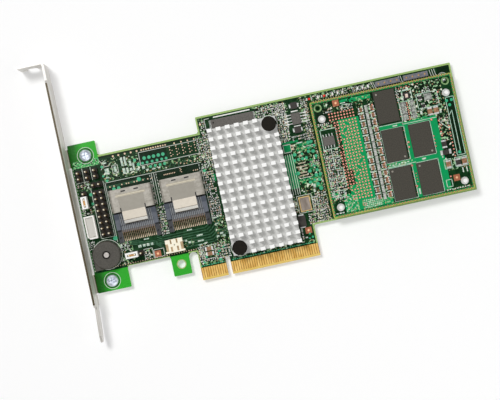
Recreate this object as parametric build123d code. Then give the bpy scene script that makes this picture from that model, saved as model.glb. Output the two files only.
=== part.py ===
from build123d import *
import os

# Storage controller card: an eight-lane card-edge board with a full-height bracket, a pin-fin
# heat sink, two internal four-lane ports and a plugged-on cache memory module.
# Millimetres. X runs along the card away from the bracket, Y from the edge contacts up to the
# card's top edge, Z out of the component side. The origin is the centre of the key notch on the
# lower edge of the card-edge tongue, in the middle of the board's thickness.

# Main board outline
BOARD_T = 1.57
BOARD_LEFT = -57.15
BOARD_LENGTH = 167.65
BOARD_TOP = 68.9
EDGE_LEFT_Y = 12.9
EDGE_RIGHT_Y = 13.3
FOOT_WIDTH = 14.5
FOOT_Y = 3.95
HOOK_LEFT = -23.8
HOOK_RIGHT = -16.0
HOOK_Y = 4.1
HOOK_HOLE = (-19.75, 8.8)
HOOK_HOLE_R = 1.65
RELIEF_TOP_Y = 12.8
SHELF_Y = 62.0
SHELF_RIGHT = -1.05
EAR_TAB_WIDTH = 12.05
EAR_TAB_TOP_Y = 68.4
OUTSIDE_R = 0.4
INSIDE_R = 1.0
TOOLING_HOLE = (106.2, 63.5)
TOOLING_HOLE_R = 1.5

# Card-edge contacts
PAD_PITCH = 1.0
PAD_WIDTH = 0.7
PAD_TOP_Y = 5.3
PAD_THICK = 0.05
PADS_SHORT_SIDE = 11
PADS_LONG_SIDE = 38
FIRST_PAD_X = 1.5
PAD_MARGIN = 0.65
KEY_WIDTH = 1.9
KEY_TOP_Y = 8.25
BEVEL_HEIGHT = 0.9
BEVEL_DEPTH = 0.33

# Bracket
SHEET_T = 0.86
BRACKET_GAP = 1.0
BRACKET_WIDTH = 18.42
BRACKET_LOW_Z = -3.3
BRACKET_TOP_Y = 104.5
NECK_Y = 96.6
NECK_INSET = 1.2
TAB_REACH = 11.43
TAB_NOTCH_WIDTH = 4.42
TAB_NOTCH_DEPTH = 6.4
TAB_NOTCH_FROM_FACE = 6.35
BEND_R = 0.5
SHOULDER_Y = -1.0
TONGUE_WIDTH = 10.19
TONGUE_TIP_Y = -16.3
TONGUE_LEAN = 0.85
TONGUE_TIP_R = 3.0
EAR_WIDTH = 8.0
EAR_LENGTH = 12.0
EAR_RELIEF = 0.7
SCREW_X = -50.2
SCREW_YS = (8.15, 62.85)
SCREW_R = 1.45
SCREW_HEAD_R = 2.55
SCREW_HEAD_H = 1.9
SCREW_TIP = 0.8
SCREW_RECESS = 2.7
SCREW_RECESS_W = 0.6
SCREW_RECESS_DEPTH = 1.1
HOLE_CLEARANCE = 0.25
THREAD_CLEARANCE = 0.04

# Controller chip and heat sink
SINK_X = 17.65
SINK_Y = 34.95
CHIP_SIZE = 27.0
CHIP_H = 2.3
DIE_LID_SIZE = 20.0
DIE_LID_H = 0.5
BALL_RING_INSET = 1.0
BALL_RING_W = 0.6
PAD_H = 0.3
SINK_WIDTH = 29.5
SINK_HEIGHT = 54.85
SINK_BASE_T = 1.9
FIN_COLUMNS = 8
FIN_ROWS = 15
FIN_X = 2.0
FIN_Y = 1.5
FIN_H = 6.3
PUSH_INSET_X = 3.25
PUSH_INSET_Y = 3.12
PUSH_HEAD_R = 3.15
PUSH_HEAD_H = 1.4
PUSH_HEAD_BEVEL = 0.3
PUSH_SHANK_R = 1.5
PUSH_BARB_R = 2.0
PUSH_BARB_GAP = 0.1
PUSH_BARB_LIP = 0.3
PUSH_TIP_GAP = 0.3
SPRING_R = 2.25
SPRING_WIRE = 0.5
SPRING_H = 3.6
SPRING_TURNS = 3.5

# Flash memory chip beside the heat sink
FLASH_X = 14.4
FLASH_Y = 60.3
FLASH_LENGTH = 18.4
FLASH_WIDTH = 12.0
FLASH_H = 1.0
FLASH_LEADS = 24
FLASH_PITCH = 0.5
FLASH_LEAD_W = 0.22
FLASH_LEAD_OUT = 0.8
LEAD_T = 0.13
LEAD_STANDOFF = 0.1

# Internal four-lane ports
PORT_XS = (-34.35, -12.5)
PORT_WIDTH = 18.1
PORT_END = 2.25
PORT_TOP = 8.6
PORT_MOUTH_Y = 45.7
PORT_BACK_Y = 36.0
PORT_CAVITY_Y = 39.0
SHELL_T = 0.35
SHELL_BEND_R = 0.9
TONGUE_FLAP_W = 10.0
FLAP_FOLD_Y = 32.2
FLAP_TIP_Y = 30.4
FLAP_FOLD_Z = 7.4
FLAP_TIP_Z = 5.4
FLAP_SLOT_W = 0.5
FLAP_SLOT_L = 1.6
FLAP_GAP = 0.5
PANEL_TOP_Y = 42.2
PANEL_DEPTH = 0.2
LATCH_DX = 2.8
LATCH_W = 2.0
LATCH_L = 0.6
LATCH_Y = 44.5
RIB_Y = 42.9
RIB_LENGTH = 12.6
RIB_W = 0.9
RIB_CREST = 0.4
RIB_H = 0.35
WINDOW_LOW = 3.2
WINDOW_H = 1.4
WINDOW_L = 2.2
WINDOW_INSET = 2.6
SHELL_FOOT_L = 1.0
SHELL_FOOT_REACH = 0.8
SHELL_FOOT_INSET = 1.5
PORT_FLOOR_T = 0.8
PORT_LIP_INSET = 0.4
BACK_DROP = 1.6
BACK_GAP = 0.6
BACK_GAP_FLOOR = 3.0
COMB_Y = 27.3
COMB_H = 3.4
COMB_TOOTH = 1.2
COMB_SLOT = 1.0
COMB_DEPTH = 3.0
SLOPE_KNEE = (0.9, 0.8)
GROOVE_W = 0.4
GROOVE_DEPTH = 0.5
LEG_Y = 23.0
LEG_W = 1.8
LEG_H = 2.6
CHEEK_H = 4.8
CHEEK_INSET = 1.0
PEG_HOLE_R = 0.5
PEG_HOLE_Y = 2.0
PEG_HOLE_DEPTH = 1.2
SLOT_BLOCK_GAP = 1.85
SLOT_BLOCK_H = 3.6
SLOT_BLOCK_L = 2.6
CARD_SLOT_WALL = 0.7
CARD_SLOT_H = 1.2
CARD_SLOT_DEPTH = 4.5
PORT_PITCH = 0.8
CONTACT_W = 0.35
CONTACT_T = 0.2
CONTACT_FOOT = 1.1
CONTACT_TIP_Y = 23.4
CONTACT_GAP = 0.05
TAIL_DROP = 0.9
TAIL_KNEE = 0.4
BLADE_GAP = 0.2

# Cache memory module
MODULE_X = 47.8
MODULE_Y = 14.15
MODULE_WIDTH = 61.2
MODULE_HEIGHT = 50.15
MODULE_T = 1.2
MODULE_CORNER_R = 0.6
STANDOFF_INSET = 3.75
STANDOFF_LOW = 4.1
STANDOFF_DROP = 7.9
STANDOFF_R = 2.4
STANDOFF_NECK_R = 1.25
STANDOFF_HEAD_R = 1.6
STANDOFF_HEAD_H = 2.0
STANDOFF_TIP_R = 0.8
SNAP_SLOT_W = 0.5
PLATED_INSET = 3.0
PLATED_R = 1.0
MEMORY_WIDTH = 9.2
MEMORY_LENGTH = 14.0
MEMORY_H = 1.0
BALL_GAP = 0.25
CARRIER_T = 0.25
CARRIER_EDGE = 0.15
MEMORY_COLUMNS = (29.65, 17.9)
MEMORY_FIRST_Y = 8.55
MEMORY_PITCH_Y = 16.6

# Mezzanine connector pair
MEZZ_INSET = 14.0
MEZZ_WIDTH = 12.4
MEZZ_LENGTH = 43.0
MEZZ_WALL = 1.0
MEZZ_SOCKET_H = 3.4
MEZZ_RECESS = 2.4
MEZZ_FIT = 0.1
MEZZ_FLANGE_H = 1.965
MEZZ_NOSE_H = 2.2

# Pin headers, shunts and sockets
PIN_PITCH = 2.54
PIN_SIDE = 0.64
PIN_TOP_H = 8.4
PIN_TAIL = 1.6
PIN_TIP = 0.15
PIN_HOLE_R = 0.5
HEADER_H = 2.54
HEADER_SIDE = 2.5
HEADER_NOTCH = 0.35
BLOCK_COLUMNS = 2
BLOCK_ROWS = 8
PAIR_PINS = 2
TRIPLE_PINS = 3
BLOCK_HEADER = (-48.08, 37.2)
PAIR_HEADER_XS = (-54.7, -51.2, -47.7)
PAIR_HEADER_Y = 54.53
LEVEL_PAIR = (-48.08, 49.6)
TRIPLE_UPRIGHT = (-54.15, 44.23)
TRIPLE_LEVEL = (-38.04, 17.15)
SHUNT_LENGTH = 5.2
SHUNT_WIDTH = 2.45
SHUNT_H = 6.2
SHUNT_WALL = 0.45
SHUNT_SLOT = (3.9, 0.95)

BATTERY_SOCKET = (-54.05, 32.2)
BATTERY_WIDTH = 4.35
BATTERY_LENGTH = 9.9
BATTERY_H = 4.8
BATTERY_RIM = 0.6
BATTERY_RECESS = 1.0
BATTERY_CHAMFER = 1.1
BATTERY_SLOT = (0.95, 0.35)
BATTERY_SLOT_AT = (0.75, 4.0)
BATTERY_PINS = 4
SMALL_PITCH = 2.0
SMALL_PIN = 0.5

SIDE_SOCKET = (-20.85, 17.25)
SIDE_WIDTH = 7.4
SIDE_DEPTH = 5.7
SIDE_H = 4.8
SIDE_WALL = 0.7
SIDE_LIP = 0.45
SIDE_LIP_L = 0.8
SIDE_SLOT_DX = 1.3
SIDE_SLOT_W = 0.6
SIDE_SLOT_L = 1.85
SIDE_SLOT_DEPTH = 1.5
SIDE_POCKET_L = 1.7
SIDE_POCKET_Y = 0.95
SIDE_POCKET_DEPTH = 0.35
SIDE_VENT_R = 0.35
SIDE_VENT_Y = 2.5
SIDE_PINS = 3
SIDE_CAVITY = 4.4

BUZZER = (-49.9, 19.45)
BUZZER_R = 5.95
BUZZER_H = 6.2
BUZZER_BEVEL = 0.35
BUZZER_CORNER_H = 3.4
BUZZER_HOLE_R = 1.35
BUZZER_CAVITY = 2.2
BUZZER_CORE_R = 1.1
BUZZER_CORE_DROP = 0.4
BUZZER_MARK = (2.5, 2.0)
BUZZER_MARK_DEPTH = 0.2
BUZZER_PIN_DX = 3.25

# Other chips on the boards
OSCILLATOR = (37.3, 22.85)
OSCILLATOR_SIZE = (4.9, 6.4)
OSCILLATOR_H = 1.0
OSCILLATOR_LID_INSET = 0.45
OSCILLATOR_LID_H = 0.3
SMALL_CHIP_BOARD = (41.2, 59.3)
SMALL_CHIP_INSET = (4.7, 32.65)
SMALL_CHIP_WIDTH = 3.9
SMALL_CHIP_LENGTH = 4.9
SMALL_CHIP_H = 1.45
SMALL_CHIP_PITCH = 1.27
SMALL_CHIP_SPAN = 6.0
SMALL_CHIP_LEAN = 0.15
SMALL_LEAD_W = 0.42
SMALL_LEADS = 4
COIL = (34.4, 15.85)
COIL_SIZE = (3.3, 4.8, 2.2)
COIL_TAB_T = 0.5
DIODES = ((41.3, 64.9), (40.9, 54.5))
DIODE_SIZE = (2.9, 2.8, 1.6)
DIODE_TAB = (0.6, 1.6, 0.9)
LIGHTS = ((48.4, 66.3), (55.0, 66.3))
LIGHT_SIZE = (1.0, 0.8, 0.5)
INDICATOR_X = (82.6, 94.8)
INDICATOR_Y = 66.3
INDICATOR_SIZE = (10.7, 2.2, 1.9)
INDICATOR_WINDOWS = 4
INDICATOR_WINDOW_R = 0.35
ARRAY_INSET = 38.2
ARRAY_FIRST_Y = 4.9
ARRAY_COUNT = 13
ARRAY_PITCH = 3.15
ARRAY_SIZE = (1.3, 2.9, 0.5)
ARRAY_NOTCH = (0.4, 0.22)
SIDE_CAPS_DX = 2.35
CAP_SMALL = (2.0, 0.75, 0.6)
CAP_SMALL_PITCH = 0.95
CAP_LARGE = (2.0, 3.4, 1.2)
MODULE_CAPS = ((12.0, 35.85), (9.4, 35.85), (9.1, 12.35), (2.2, 12.35))
MODULE_BEADS = ((9.1, 21.05), (4.8, 12.25))
LEVEL_BEAD = (9.1, 17.55)
LEVEL_BEAD_LENGTH = 4.6
BOARD_CAPS = ((-6.9, 12.85), (-6.9, 10.65))
BOARD_CAP_WIDTH = 1.6
END_SHARE = 0.2

# Levels worked out from the sizes above
TOP = BOARD_T / 2
BOTTOM = -TOP
BOARD_RIGHT = BOARD_LEFT + BOARD_LENGTH
TONGUE_LEFT = -(FIRST_PAD_X + (PADS_SHORT_SIDE - 1) * PAD_PITCH + PAD_MARGIN)
TONGUE_RIGHT = FIRST_PAD_X + (PADS_LONG_SIDE - 1) * PAD_PITCH + PAD_MARGIN
BRACKET_X = BOARD_LEFT - BRACKET_GAP
REST_Z = BRACKET_LOW_Z
SINK_BASE_Z = TOP + CHIP_H + PAD_H
FIN_Z = SINK_BASE_Z + SINK_BASE_T
FIN_PITCH_X = (SINK_WIDTH - FIN_X) / (FIN_COLUMNS - 1)
FIN_PITCH_Y = (SINK_HEIGHT - FIN_Y) / (FIN_ROWS - 1)
PUSH_DX = SINK_WIDTH / 2 - PUSH_INSET_X
PUSH_DY = SINK_HEIGHT / 2 - PUSH_INSET_Y
PUSH_POINTS = ((SINK_X + PUSH_DX, SINK_Y + PUSH_DY), (SINK_X - PUSH_DX, SINK_Y - PUSH_DY))
SHELL_TOP_Z = TOP + PORT_TOP
PORT_FLOOR_Z = TOP + SHELL_T
PORT_ROOF_Z = SHELL_TOP_Z - SHELL_T
SLOT_BLOCK_W = PORT_WIDTH - 2 * SLOT_BLOCK_GAP
CARD_SLOT_W = SLOT_BLOCK_W - 2 * CARD_SLOT_WALL
CARD_SLOT_Z = (PORT_FLOOR_Z + PORT_FLOOR_T + PORT_ROOF_Z) / 2
PORT_CONTACTS = int((PORT_WIDTH - 2 * PORT_END) / PORT_PITCH + 0.01) + 1
PORT_COLUMNS = [(i - (PORT_CONTACTS - 1) / 2) * PORT_PITCH for i in range(PORT_CONTACTS)]
PANEL_HALF = TONGUE_FLAP_W / 2 + FLAP_SLOT_W
MODULE_RIGHT = MODULE_X + MODULE_WIDTH
MODULE_UPPER_Y = MODULE_Y + MODULE_HEIGHT
MODULE_LOW = TOP + MEZZ_SOCKET_H + MEZZ_FLANGE_H
MODULE_TOP = MODULE_LOW + MODULE_T
MEZZ_X = MODULE_X + MEZZ_INSET
MEZZ_Y = MODULE_Y + MODULE_HEIGHT / 2
STANDOFF_POINTS = [(x, y) for x in (MODULE_X + STANDOFF_INSET, MODULE_RIGHT - STANDOFF_INSET)
                   for y in (MODULE_Y + STANDOFF_LOW, MODULE_UPPER_Y - STANDOFF_DROP)]
PLATED_POINTS = [(x, MODULE_UPPER_Y - PLATED_INSET)
                 for x in (MODULE_X + PLATED_INSET, MODULE_RIGHT - PLATED_INSET)]
SMALL_CHIP_MODULE = (MODULE_X + SMALL_CHIP_INSET[0], MODULE_Y + SMALL_CHIP_INSET[1])


def block(x0, x1, y0, y1, z0, z1):
    """A box between two corners."""
    middle = Pos((x0 + x1) / 2, (y0 + y1) / 2, (z0 + z1) / 2)
    return middle * Box(x1 - x0, y1 - y0, z1 - z0)


def slab(x, y, size_x, size_y, z0, z1):
    """A box centred on a point of the board."""
    return block(x - size_x / 2, x + size_x / 2, y - size_y / 2, y + size_y / 2, z0, z1)


def rod(x, y, radius, z0, z1):
    """An upright round bar."""
    return Pos(x, y, (z0 + z1) / 2) * Cylinder(radius, z1 - z0)


def plate_xy(points, z0, z1, corners=()):
    """An outline in X and Y, given a height; corners are (points, radius) pairs to round."""
    sheet = make_face(Polyline(*points, close=True))
    for spots, radius in corners:
        picked = [v for v in sheet.vertices() for x, y in spots
                  if abs(v.X - x) + abs(v.Y - y) < 1e-3]
        sheet = fillet(picked, radius)
    return Pos(0, 0, z0) * extrude(sheet, amount=z1 - z0, dir=(0, 0, 1))


def plate_yz(points, x0, x1):
    """An outline in Y and Z, given a length along X."""
    face = make_face(Polyline(*[(x0, y, z) for y, z in points], close=True))
    return extrude(face, amount=x1 - x0, dir=(1, 0, 0))


def plate_xz(points, y0, y1):
    """An outline in X and Z, given a length along Y."""
    face = make_face(Polyline(*[(x, y0, z) for x, z in points], close=True))
    return extrude(face, amount=y1 - y0, dir=(0, 1, 0))


def turned(x, y, outline):
    """A round solid: an outline of (radius, height) points turned about an upright axis."""
    face = make_face(Polyline(*[(r, 0, z) for r, z in outline], close=True))
    return Pos(x, y, 0) * revolve(face, Axis.Z)


def save(name, *pieces):
    """Write one node; like pieces that share a node stay separate solids."""
    solids = [solid for piece in pieces for solid in piece.solids()]
    shape = solids[0] if len(solids) == 1 else Compound(solids)
    export_step(shape, f"parts/{name}.step")


def header_pin_points(centre, columns, rows):
    """Pin places of one header, as (x, y)."""
    x0 = centre[0] - (columns - 1) * PIN_PITCH / 2
    y0 = centre[1] - (rows - 1) * PIN_PITCH / 2
    return [(x0 + c * PIN_PITCH, y0 + r * PIN_PITCH) for c in range(columns) for r in range(rows)]


def block_headers():
    """The two-column header, as (centre, columns, rows)."""
    return [(BLOCK_HEADER, BLOCK_COLUMNS, BLOCK_ROWS)]


def pair_headers():
    """The two-pin headers: a row of upright ones and a level one."""
    upright = [((x, PAIR_HEADER_Y), 1, PAIR_PINS) for x in PAIR_HEADER_XS]
    return upright + [(LEVEL_PAIR, PAIR_PINS, 1)]


def triple_headers():
    """The three-pin headers, one upright and one level."""
    return [(TRIPLE_UPRIGHT, 1, TRIPLE_PINS), (TRIPLE_LEVEL, TRIPLE_PINS, 1)]


def battery_pin_points():
    """Pin places under the battery socket."""
    y0 = BATTERY_SOCKET[1] - (BATTERY_PINS - 1) * SMALL_PITCH / 2
    return [(BATTERY_SOCKET[0], y0 + i * SMALL_PITCH) for i in range(BATTERY_PINS)]


def side_pin_points():
    """Places where the side-entry socket's pins go through the board."""
    x0 = SIDE_SOCKET[0] - (SIDE_PINS - 1) * SMALL_PITCH / 2
    y = SIDE_SOCKET[1] + SIDE_DEPTH / 2 - SIDE_WALL / 2
    return [(x0 + i * SMALL_PITCH, y) for i in range(SIDE_PINS)]


def buzzer_pin_points():
    """Places where the buzzer's pins go through the board."""
    return [(BUZZER[0] + side * BUZZER_PIN_DX, BUZZER[1]) for side in (-1, 1)]


def board_holes():
    """Every drilled hole of the main board, as (x, y, radius)."""
    headers = pair_headers() + triple_headers() + block_headers()
    pins = [spot for header in headers for spot in header_pin_points(*header)]
    pins += battery_pin_points() + side_pin_points() + buzzer_pin_points()
    holes = [(x, y, PIN_HOLE_R) for x, y in pins]
    holes += [(SCREW_X, y, SCREW_R + HOLE_CLEARANCE) for y in SCREW_YS]
    holes += [(x, y, PUSH_SHANK_R + HOLE_CLEARANCE) for x, y in PUSH_POINTS]
    holes += [(x, y, STANDOFF_NECK_R + HOLE_CLEARANCE) for x, y in STANDOFF_POINTS]
    holes += [(*HOOK_HOLE, HOOK_HOLE_R), (*TOOLING_HOLE, TOOLING_HOLE_R)]
    return holes


def main_board():
    """The stepped board with its card-edge tongue, key notch and retention hook."""
    left, right = BOARD_LEFT, BOARD_RIGHT
    foot = left + FOOT_WIDTH
    tab = left + EAR_TAB_WIDTH
    outline = [
        (left, FOOT_Y), (foot, FOOT_Y), (foot, EDGE_LEFT_Y), (HOOK_LEFT, EDGE_LEFT_Y),
        (HOOK_LEFT, HOOK_Y), (HOOK_RIGHT, HOOK_Y), (HOOK_RIGHT, RELIEF_TOP_Y),
        (TONGUE_LEFT, RELIEF_TOP_Y), (TONGUE_LEFT, 0), (TONGUE_RIGHT, 0),
        (TONGUE_RIGHT, EDGE_RIGHT_Y), (right, EDGE_RIGHT_Y), (right, BOARD_TOP),
        (SHELF_RIGHT, BOARD_TOP), (SHELF_RIGHT, SHELF_Y), (tab, SHELF_Y),
        (tab, EAR_TAB_TOP_Y), (left, EAR_TAB_TOP_Y),
    ]
    relief_r = (TONGUE_LEFT - HOOK_RIGHT) / 2 - 0.01
    rounds = [
        ([(HOOK_RIGHT, RELIEF_TOP_Y), (TONGUE_LEFT, RELIEF_TOP_Y)], relief_r),
        ([(foot, EDGE_LEFT_Y), (HOOK_LEFT, EDGE_LEFT_Y), (TONGUE_RIGHT, EDGE_RIGHT_Y),
          (SHELF_RIGHT, SHELF_Y), (tab, SHELF_Y)], INSIDE_R),
        ([(left, FOOT_Y), (foot, FOOT_Y), (HOOK_LEFT, HOOK_Y), (HOOK_RIGHT, HOOK_Y),
          (right, EDGE_RIGHT_Y), (right, BOARD_TOP), (SHELF_RIGHT, BOARD_TOP),
          (tab, EAR_TAB_TOP_Y), (left, EAR_TAB_TOP_Y)], OUTSIDE_R),
    ]
    board = plate_xy(outline, BOTTOM, TOP, rounds)
    half = KEY_WIDTH / 2
    board -= block(-half, half, -1, KEY_TOP_Y - half, BOTTOM - 1, TOP + 1)
    board -= rod(0, KEY_TOP_Y - half, half, BOTTOM - 1, TOP + 1)
    for x, y, radius in board_holes():
        board -= rod(x, y, radius, BOTTOM - 1, TOP + 1)
    for side in (-1, 1):
        wedge = [(-1, side * (TOP + 1)), (-1, side * (TOP - BEVEL_DEPTH)),
                 (0, side * (TOP - BEVEL_DEPTH)), (BEVEL_HEIGHT, side * TOP),
                 (BEVEL_HEIGHT, side * (TOP + 1))]
        board -= plate_yz(wedge, TONGUE_LEFT - 1, TONGUE_RIGHT + 1)
    return board


def pad_centres():
    """Middle of each edge contact along the tongue."""
    short_side = [-FIRST_PAD_X - i * PAD_PITCH for i in range(PADS_SHORT_SIDE)]
    long_side = [FIRST_PAD_X + i * PAD_PITCH for i in range(PADS_LONG_SIDE)]
    return sorted(short_side) + long_side


def edge_contacts(z0, z1):
    """One row of gold contacts on one face of the tongue."""
    middle = (BEVEL_HEIGHT + PAD_TOP_Y) / 2
    height = PAD_TOP_Y - BEVEL_HEIGHT
    return [slab(x, middle, PAD_WIDTH, height, z0, z1) for x in pad_centres()]


def bracket_outline():
    """The bracket's outline seen from outside the computer, in Y and Z, with ear reliefs."""
    low, high = BRACKET_LOW_Z, BRACKET_LOW_Z + BRACKET_WIDTH
    middle = (low + high) / 2
    half = TONGUE_WIDTH / 2
    fold = BOTTOM - SHEET_T + BEND_R + SHEET_T
    points = [(BRACKET_TOP_Y + 1, high - NECK_INSET), (NECK_Y, high - NECK_INSET)]
    points += [(NECK_Y - NECK_INSET, high), (SHOULDER_Y + 1, high), (SHOULDER_Y, high - 1)]
    points += [(SHOULDER_Y, middle + half), (TONGUE_TIP_Y + TONGUE_TIP_R, middle + half)]
    points += [(TONGUE_TIP_Y, middle + half - TONGUE_TIP_R)]
    points += [(TONGUE_TIP_Y, middle - half + TONGUE_TIP_R)]
    points += [(TONGUE_TIP_Y + TONGUE_TIP_R, middle - half), (SHOULDER_Y, middle - half)]
    points += [(SHOULDER_Y, low + 1), (SHOULDER_Y + 1, low)]
    for y in SCREW_YS:
        reach = EAR_WIDTH / 2 + EAR_RELIEF
        points += [(y - reach, low), (y - reach, fold), (y + reach, fold), (y + reach, low)]
    points += [(NECK_Y - NECK_INSET, low), (NECK_Y, low + NECK_INSET)]
    points += [(BRACKET_TOP_Y + 1, low + NECK_INSET)]
    return points


def mounting_bracket():
    """One folded sheet: long plate, leaning tongue, top tab with its notch, two board ears."""
    inner = BRACKET_X
    outer = BRACKET_X - SHEET_T
    low, high = BRACKET_LOW_Z, BRACKET_LOW_Z + BRACKET_WIDTH
    side_view = [
        (inner - TONGUE_LEAN, TONGUE_TIP_Y), (inner, SHOULDER_Y), (inner, BRACKET_TOP_Y),
        (inner - TAB_REACH, BRACKET_TOP_Y), (inner - TAB_REACH, BRACKET_TOP_Y - SHEET_T),
        (outer, BRACKET_TOP_Y - SHEET_T), (outer, SHOULDER_Y),
        (outer - TONGUE_LEAN, TONGUE_TIP_Y),
    ]
    bends = [([(inner, BRACKET_TOP_Y)], BEND_R + SHEET_T),
             ([(outer, BRACKET_TOP_Y - SHEET_T)], BEND_R)]
    folded = plate_xy(side_view, low, high, bends)
    sheet = folded & plate_yz(bracket_outline(), inner - TAB_REACH - 1, inner + 1)
    notch_x = outer - TAB_NOTCH_FROM_FACE + SHEET_T
    notch_r = TAB_NOTCH_WIDTH / 2
    notch_end = low + NECK_INSET + TAB_NOTCH_DEPTH - notch_r
    y0, y1 = BRACKET_TOP_Y - SHEET_T - 1, BRACKET_TOP_Y + 1
    sheet -= block(notch_x - notch_r, notch_x + notch_r, y0, y1, low - 1, notch_end)
    round_end = Pos(notch_x, (y0 + y1) / 2, notch_end) * Rot(90, 0, 0)
    sheet -= round_end * Cylinder(notch_r, y1 - y0)
    for y in SCREW_YS:
        sheet += board_ear(y)
    return sheet


def board_ear(y):
    """An ear bent from the plate and lying flat under the board, with its threaded hole."""
    inner, outer = BRACKET_X, BRACKET_X - SHEET_T
    under = BOTTOM - SHEET_T
    rise = BOTTOM + BEND_R + SHEET_T
    tip = inner + EAR_LENGTH
    section = [(outer, rise), (outer, under + BEND_R + SHEET_T), (outer + BEND_R + SHEET_T, under),
               (tip, under), (tip, BOTTOM), (inner + BEND_R, BOTTOM), (inner, BOTTOM + BEND_R),
               (inner, rise)]
    ear = plate_xz(section, y - EAR_WIDTH / 2, y + EAR_WIDTH / 2)
    return ear - rod(SCREW_X, y, SCREW_R + THREAD_CLEARANCE, under - 1, BOTTOM + 1)


def bracket_screw(y):
    """A pan-head screw with a cross recess, seated on the board."""
    crown = SCREW_HEAD_H * 0.45
    tip = BOTTOM - SHEET_T - SCREW_TIP
    outline = [(0, TOP + SCREW_HEAD_H), (SCREW_HEAD_R * 0.55, TOP + SCREW_HEAD_H),
               (SCREW_HEAD_R * 0.88, TOP + SCREW_HEAD_H - crown * 0.4),
               (SCREW_HEAD_R, TOP + SCREW_HEAD_H - crown), (SCREW_HEAD_R, TOP),
               (SCREW_R, TOP), (SCREW_R, tip + SCREW_TIP / 2), (SCREW_R * 0.7, tip), (0, tip)]
    screw = turned(SCREW_X, y, outline)
    floor = TOP + SCREW_HEAD_H - SCREW_RECESS_DEPTH
    for long_x, long_y in ((SCREW_RECESS, SCREW_RECESS_W), (SCREW_RECESS_W, SCREW_RECESS)):
        screw -= slab(SCREW_X, y, long_x, long_y, floor, TOP + SCREW_HEAD_H + 1)
    return screw


def controller_chip():
    """The controller's package with its raised lid, under the heat sink."""
    package_top = TOP + CHIP_H - DIE_LID_H
    package = slab(SINK_X, SINK_Y, CHIP_SIZE, CHIP_SIZE, TOP + BALL_GAP, package_top)
    lid = slab(SINK_X, SINK_Y, DIE_LID_SIZE, DIE_LID_SIZE, package_top, TOP + CHIP_H)
    return package + lid


def controller_balls():
    """The ring of solder balls that carries the controller's package, as low blocks."""
    reach = CHIP_SIZE / 2 - BALL_RING_INSET
    row = (2 * reach + BALL_RING_W, BALL_RING_W)
    column = (BALL_RING_W, 2 * (reach - BALL_RING_W))
    strips = []
    for side in (-1, 1):
        strips.append(slab(SINK_X, SINK_Y + side * reach, *row, TOP, TOP + BALL_GAP))
        strips.append(slab(SINK_X + side * reach, SINK_Y, *column, TOP, TOP + BALL_GAP))
    return strips


def fin_points():
    """Places of the fins; each push pin takes the room of two by two."""
    x0 = SINK_X - (FIN_COLUMNS - 1) * FIN_PITCH_X / 2
    y0 = SINK_Y - (FIN_ROWS - 1) * FIN_PITCH_Y / 2
    room_x = PUSH_HEAD_R + FIN_X / 2
    room_y = PUSH_HEAD_R + FIN_Y / 2
    spots = []
    for column in range(FIN_COLUMNS):
        for row in range(FIN_ROWS):
            x, y = x0 + column * FIN_PITCH_X, y0 + row * FIN_PITCH_Y
            if not any(abs(x - px) < room_x and abs(y - py) < room_y for px, py in PUSH_POINTS):
                spots.append((x, y))
    return spots


def heat_sink():
    """Flat base with a field of square fins and two holes for the push pins."""
    sink = slab(SINK_X, SINK_Y, SINK_WIDTH, SINK_HEIGHT, SINK_BASE_Z, FIN_Z)
    for x, y in PUSH_POINTS:
        sink -= rod(x, y, PUSH_SHANK_R + HOLE_CLEARANCE, SINK_BASE_Z - 1, FIN_Z + 1)
    fins = [slab(x, y, FIN_X, FIN_Y, FIN_Z, FIN_Z + FIN_H) for x, y in fin_points()]
    return sink.fuse(*fins)


def push_pin(x, y):
    """A plastic push pin: wide head, shank and a split barb under the board."""
    head = FIN_Z + SPRING_H
    barb = BOTTOM - PUSH_BARB_GAP
    tip = REST_Z + PUSH_TIP_GAP
    crown = head + PUSH_HEAD_H
    outline = [(0, crown), (PUSH_HEAD_R - PUSH_HEAD_BEVEL, crown),
               (PUSH_HEAD_R, crown - PUSH_HEAD_BEVEL), (PUSH_HEAD_R, head),
               (PUSH_SHANK_R, head), (PUSH_SHANK_R, barb), (PUSH_BARB_R, barb),
               (PUSH_BARB_R, barb - PUSH_BARB_LIP), (PUSH_SHANK_R * 0.6, tip), (0, tip)]
    pin = turned(x, y, outline)
    return pin - slab(x, y, SNAP_SLOT_W, 2 * PUSH_BARB_R + 1, tip - 1, TOP + 1)


def push_pin_spring(x, y):
    """The coil spring between the heat sink's base and the push pin's head."""
    rise = SPRING_H - SPRING_WIRE
    path = Helix(pitch=rise / SPRING_TURNS, height=rise, radius=SPRING_R)
    wire = sweep(Plane(origin=path @ 0, z_dir=path % 0) * Circle(SPRING_WIRE / 2), path,
                 is_frenet=True)
    return Pos(x, y, FIN_Z + SPRING_WIRE / 2) * wire


def gull_lead(reach, body_side, height, width):
    """One gull-wing lead along +X from a chip's side, centred on Y, standing on Z = 0."""
    knee = body_side + (reach - body_side) * 0.35
    ankle = body_side + (reach - body_side) * 0.5
    profile = [(body_side, height), (body_side, height + LEAD_T), (knee, height + LEAD_T),
               (ankle + LEAD_T, LEAD_T), (reach, LEAD_T), (reach, 0), (ankle, 0), (knee, height)]
    return plate_xz(profile, -width / 2, width / 2)


def lead_rows(x, y, z, turn, body_side, reach, height, width, count, pitch):
    """Leads down two opposite sides of a chip; turn is 0 for sides at left and right."""
    lead = gull_lead(reach, body_side, height, width)
    leads = []
    for flip in (0, 180):
        for i in range(count):
            place = Pos(x, y, z) * Rot(0, 0, turn + flip) * Pos(0, (i - (count - 1) / 2) * pitch, 0)
            leads.append(place * lead)
    return leads


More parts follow.
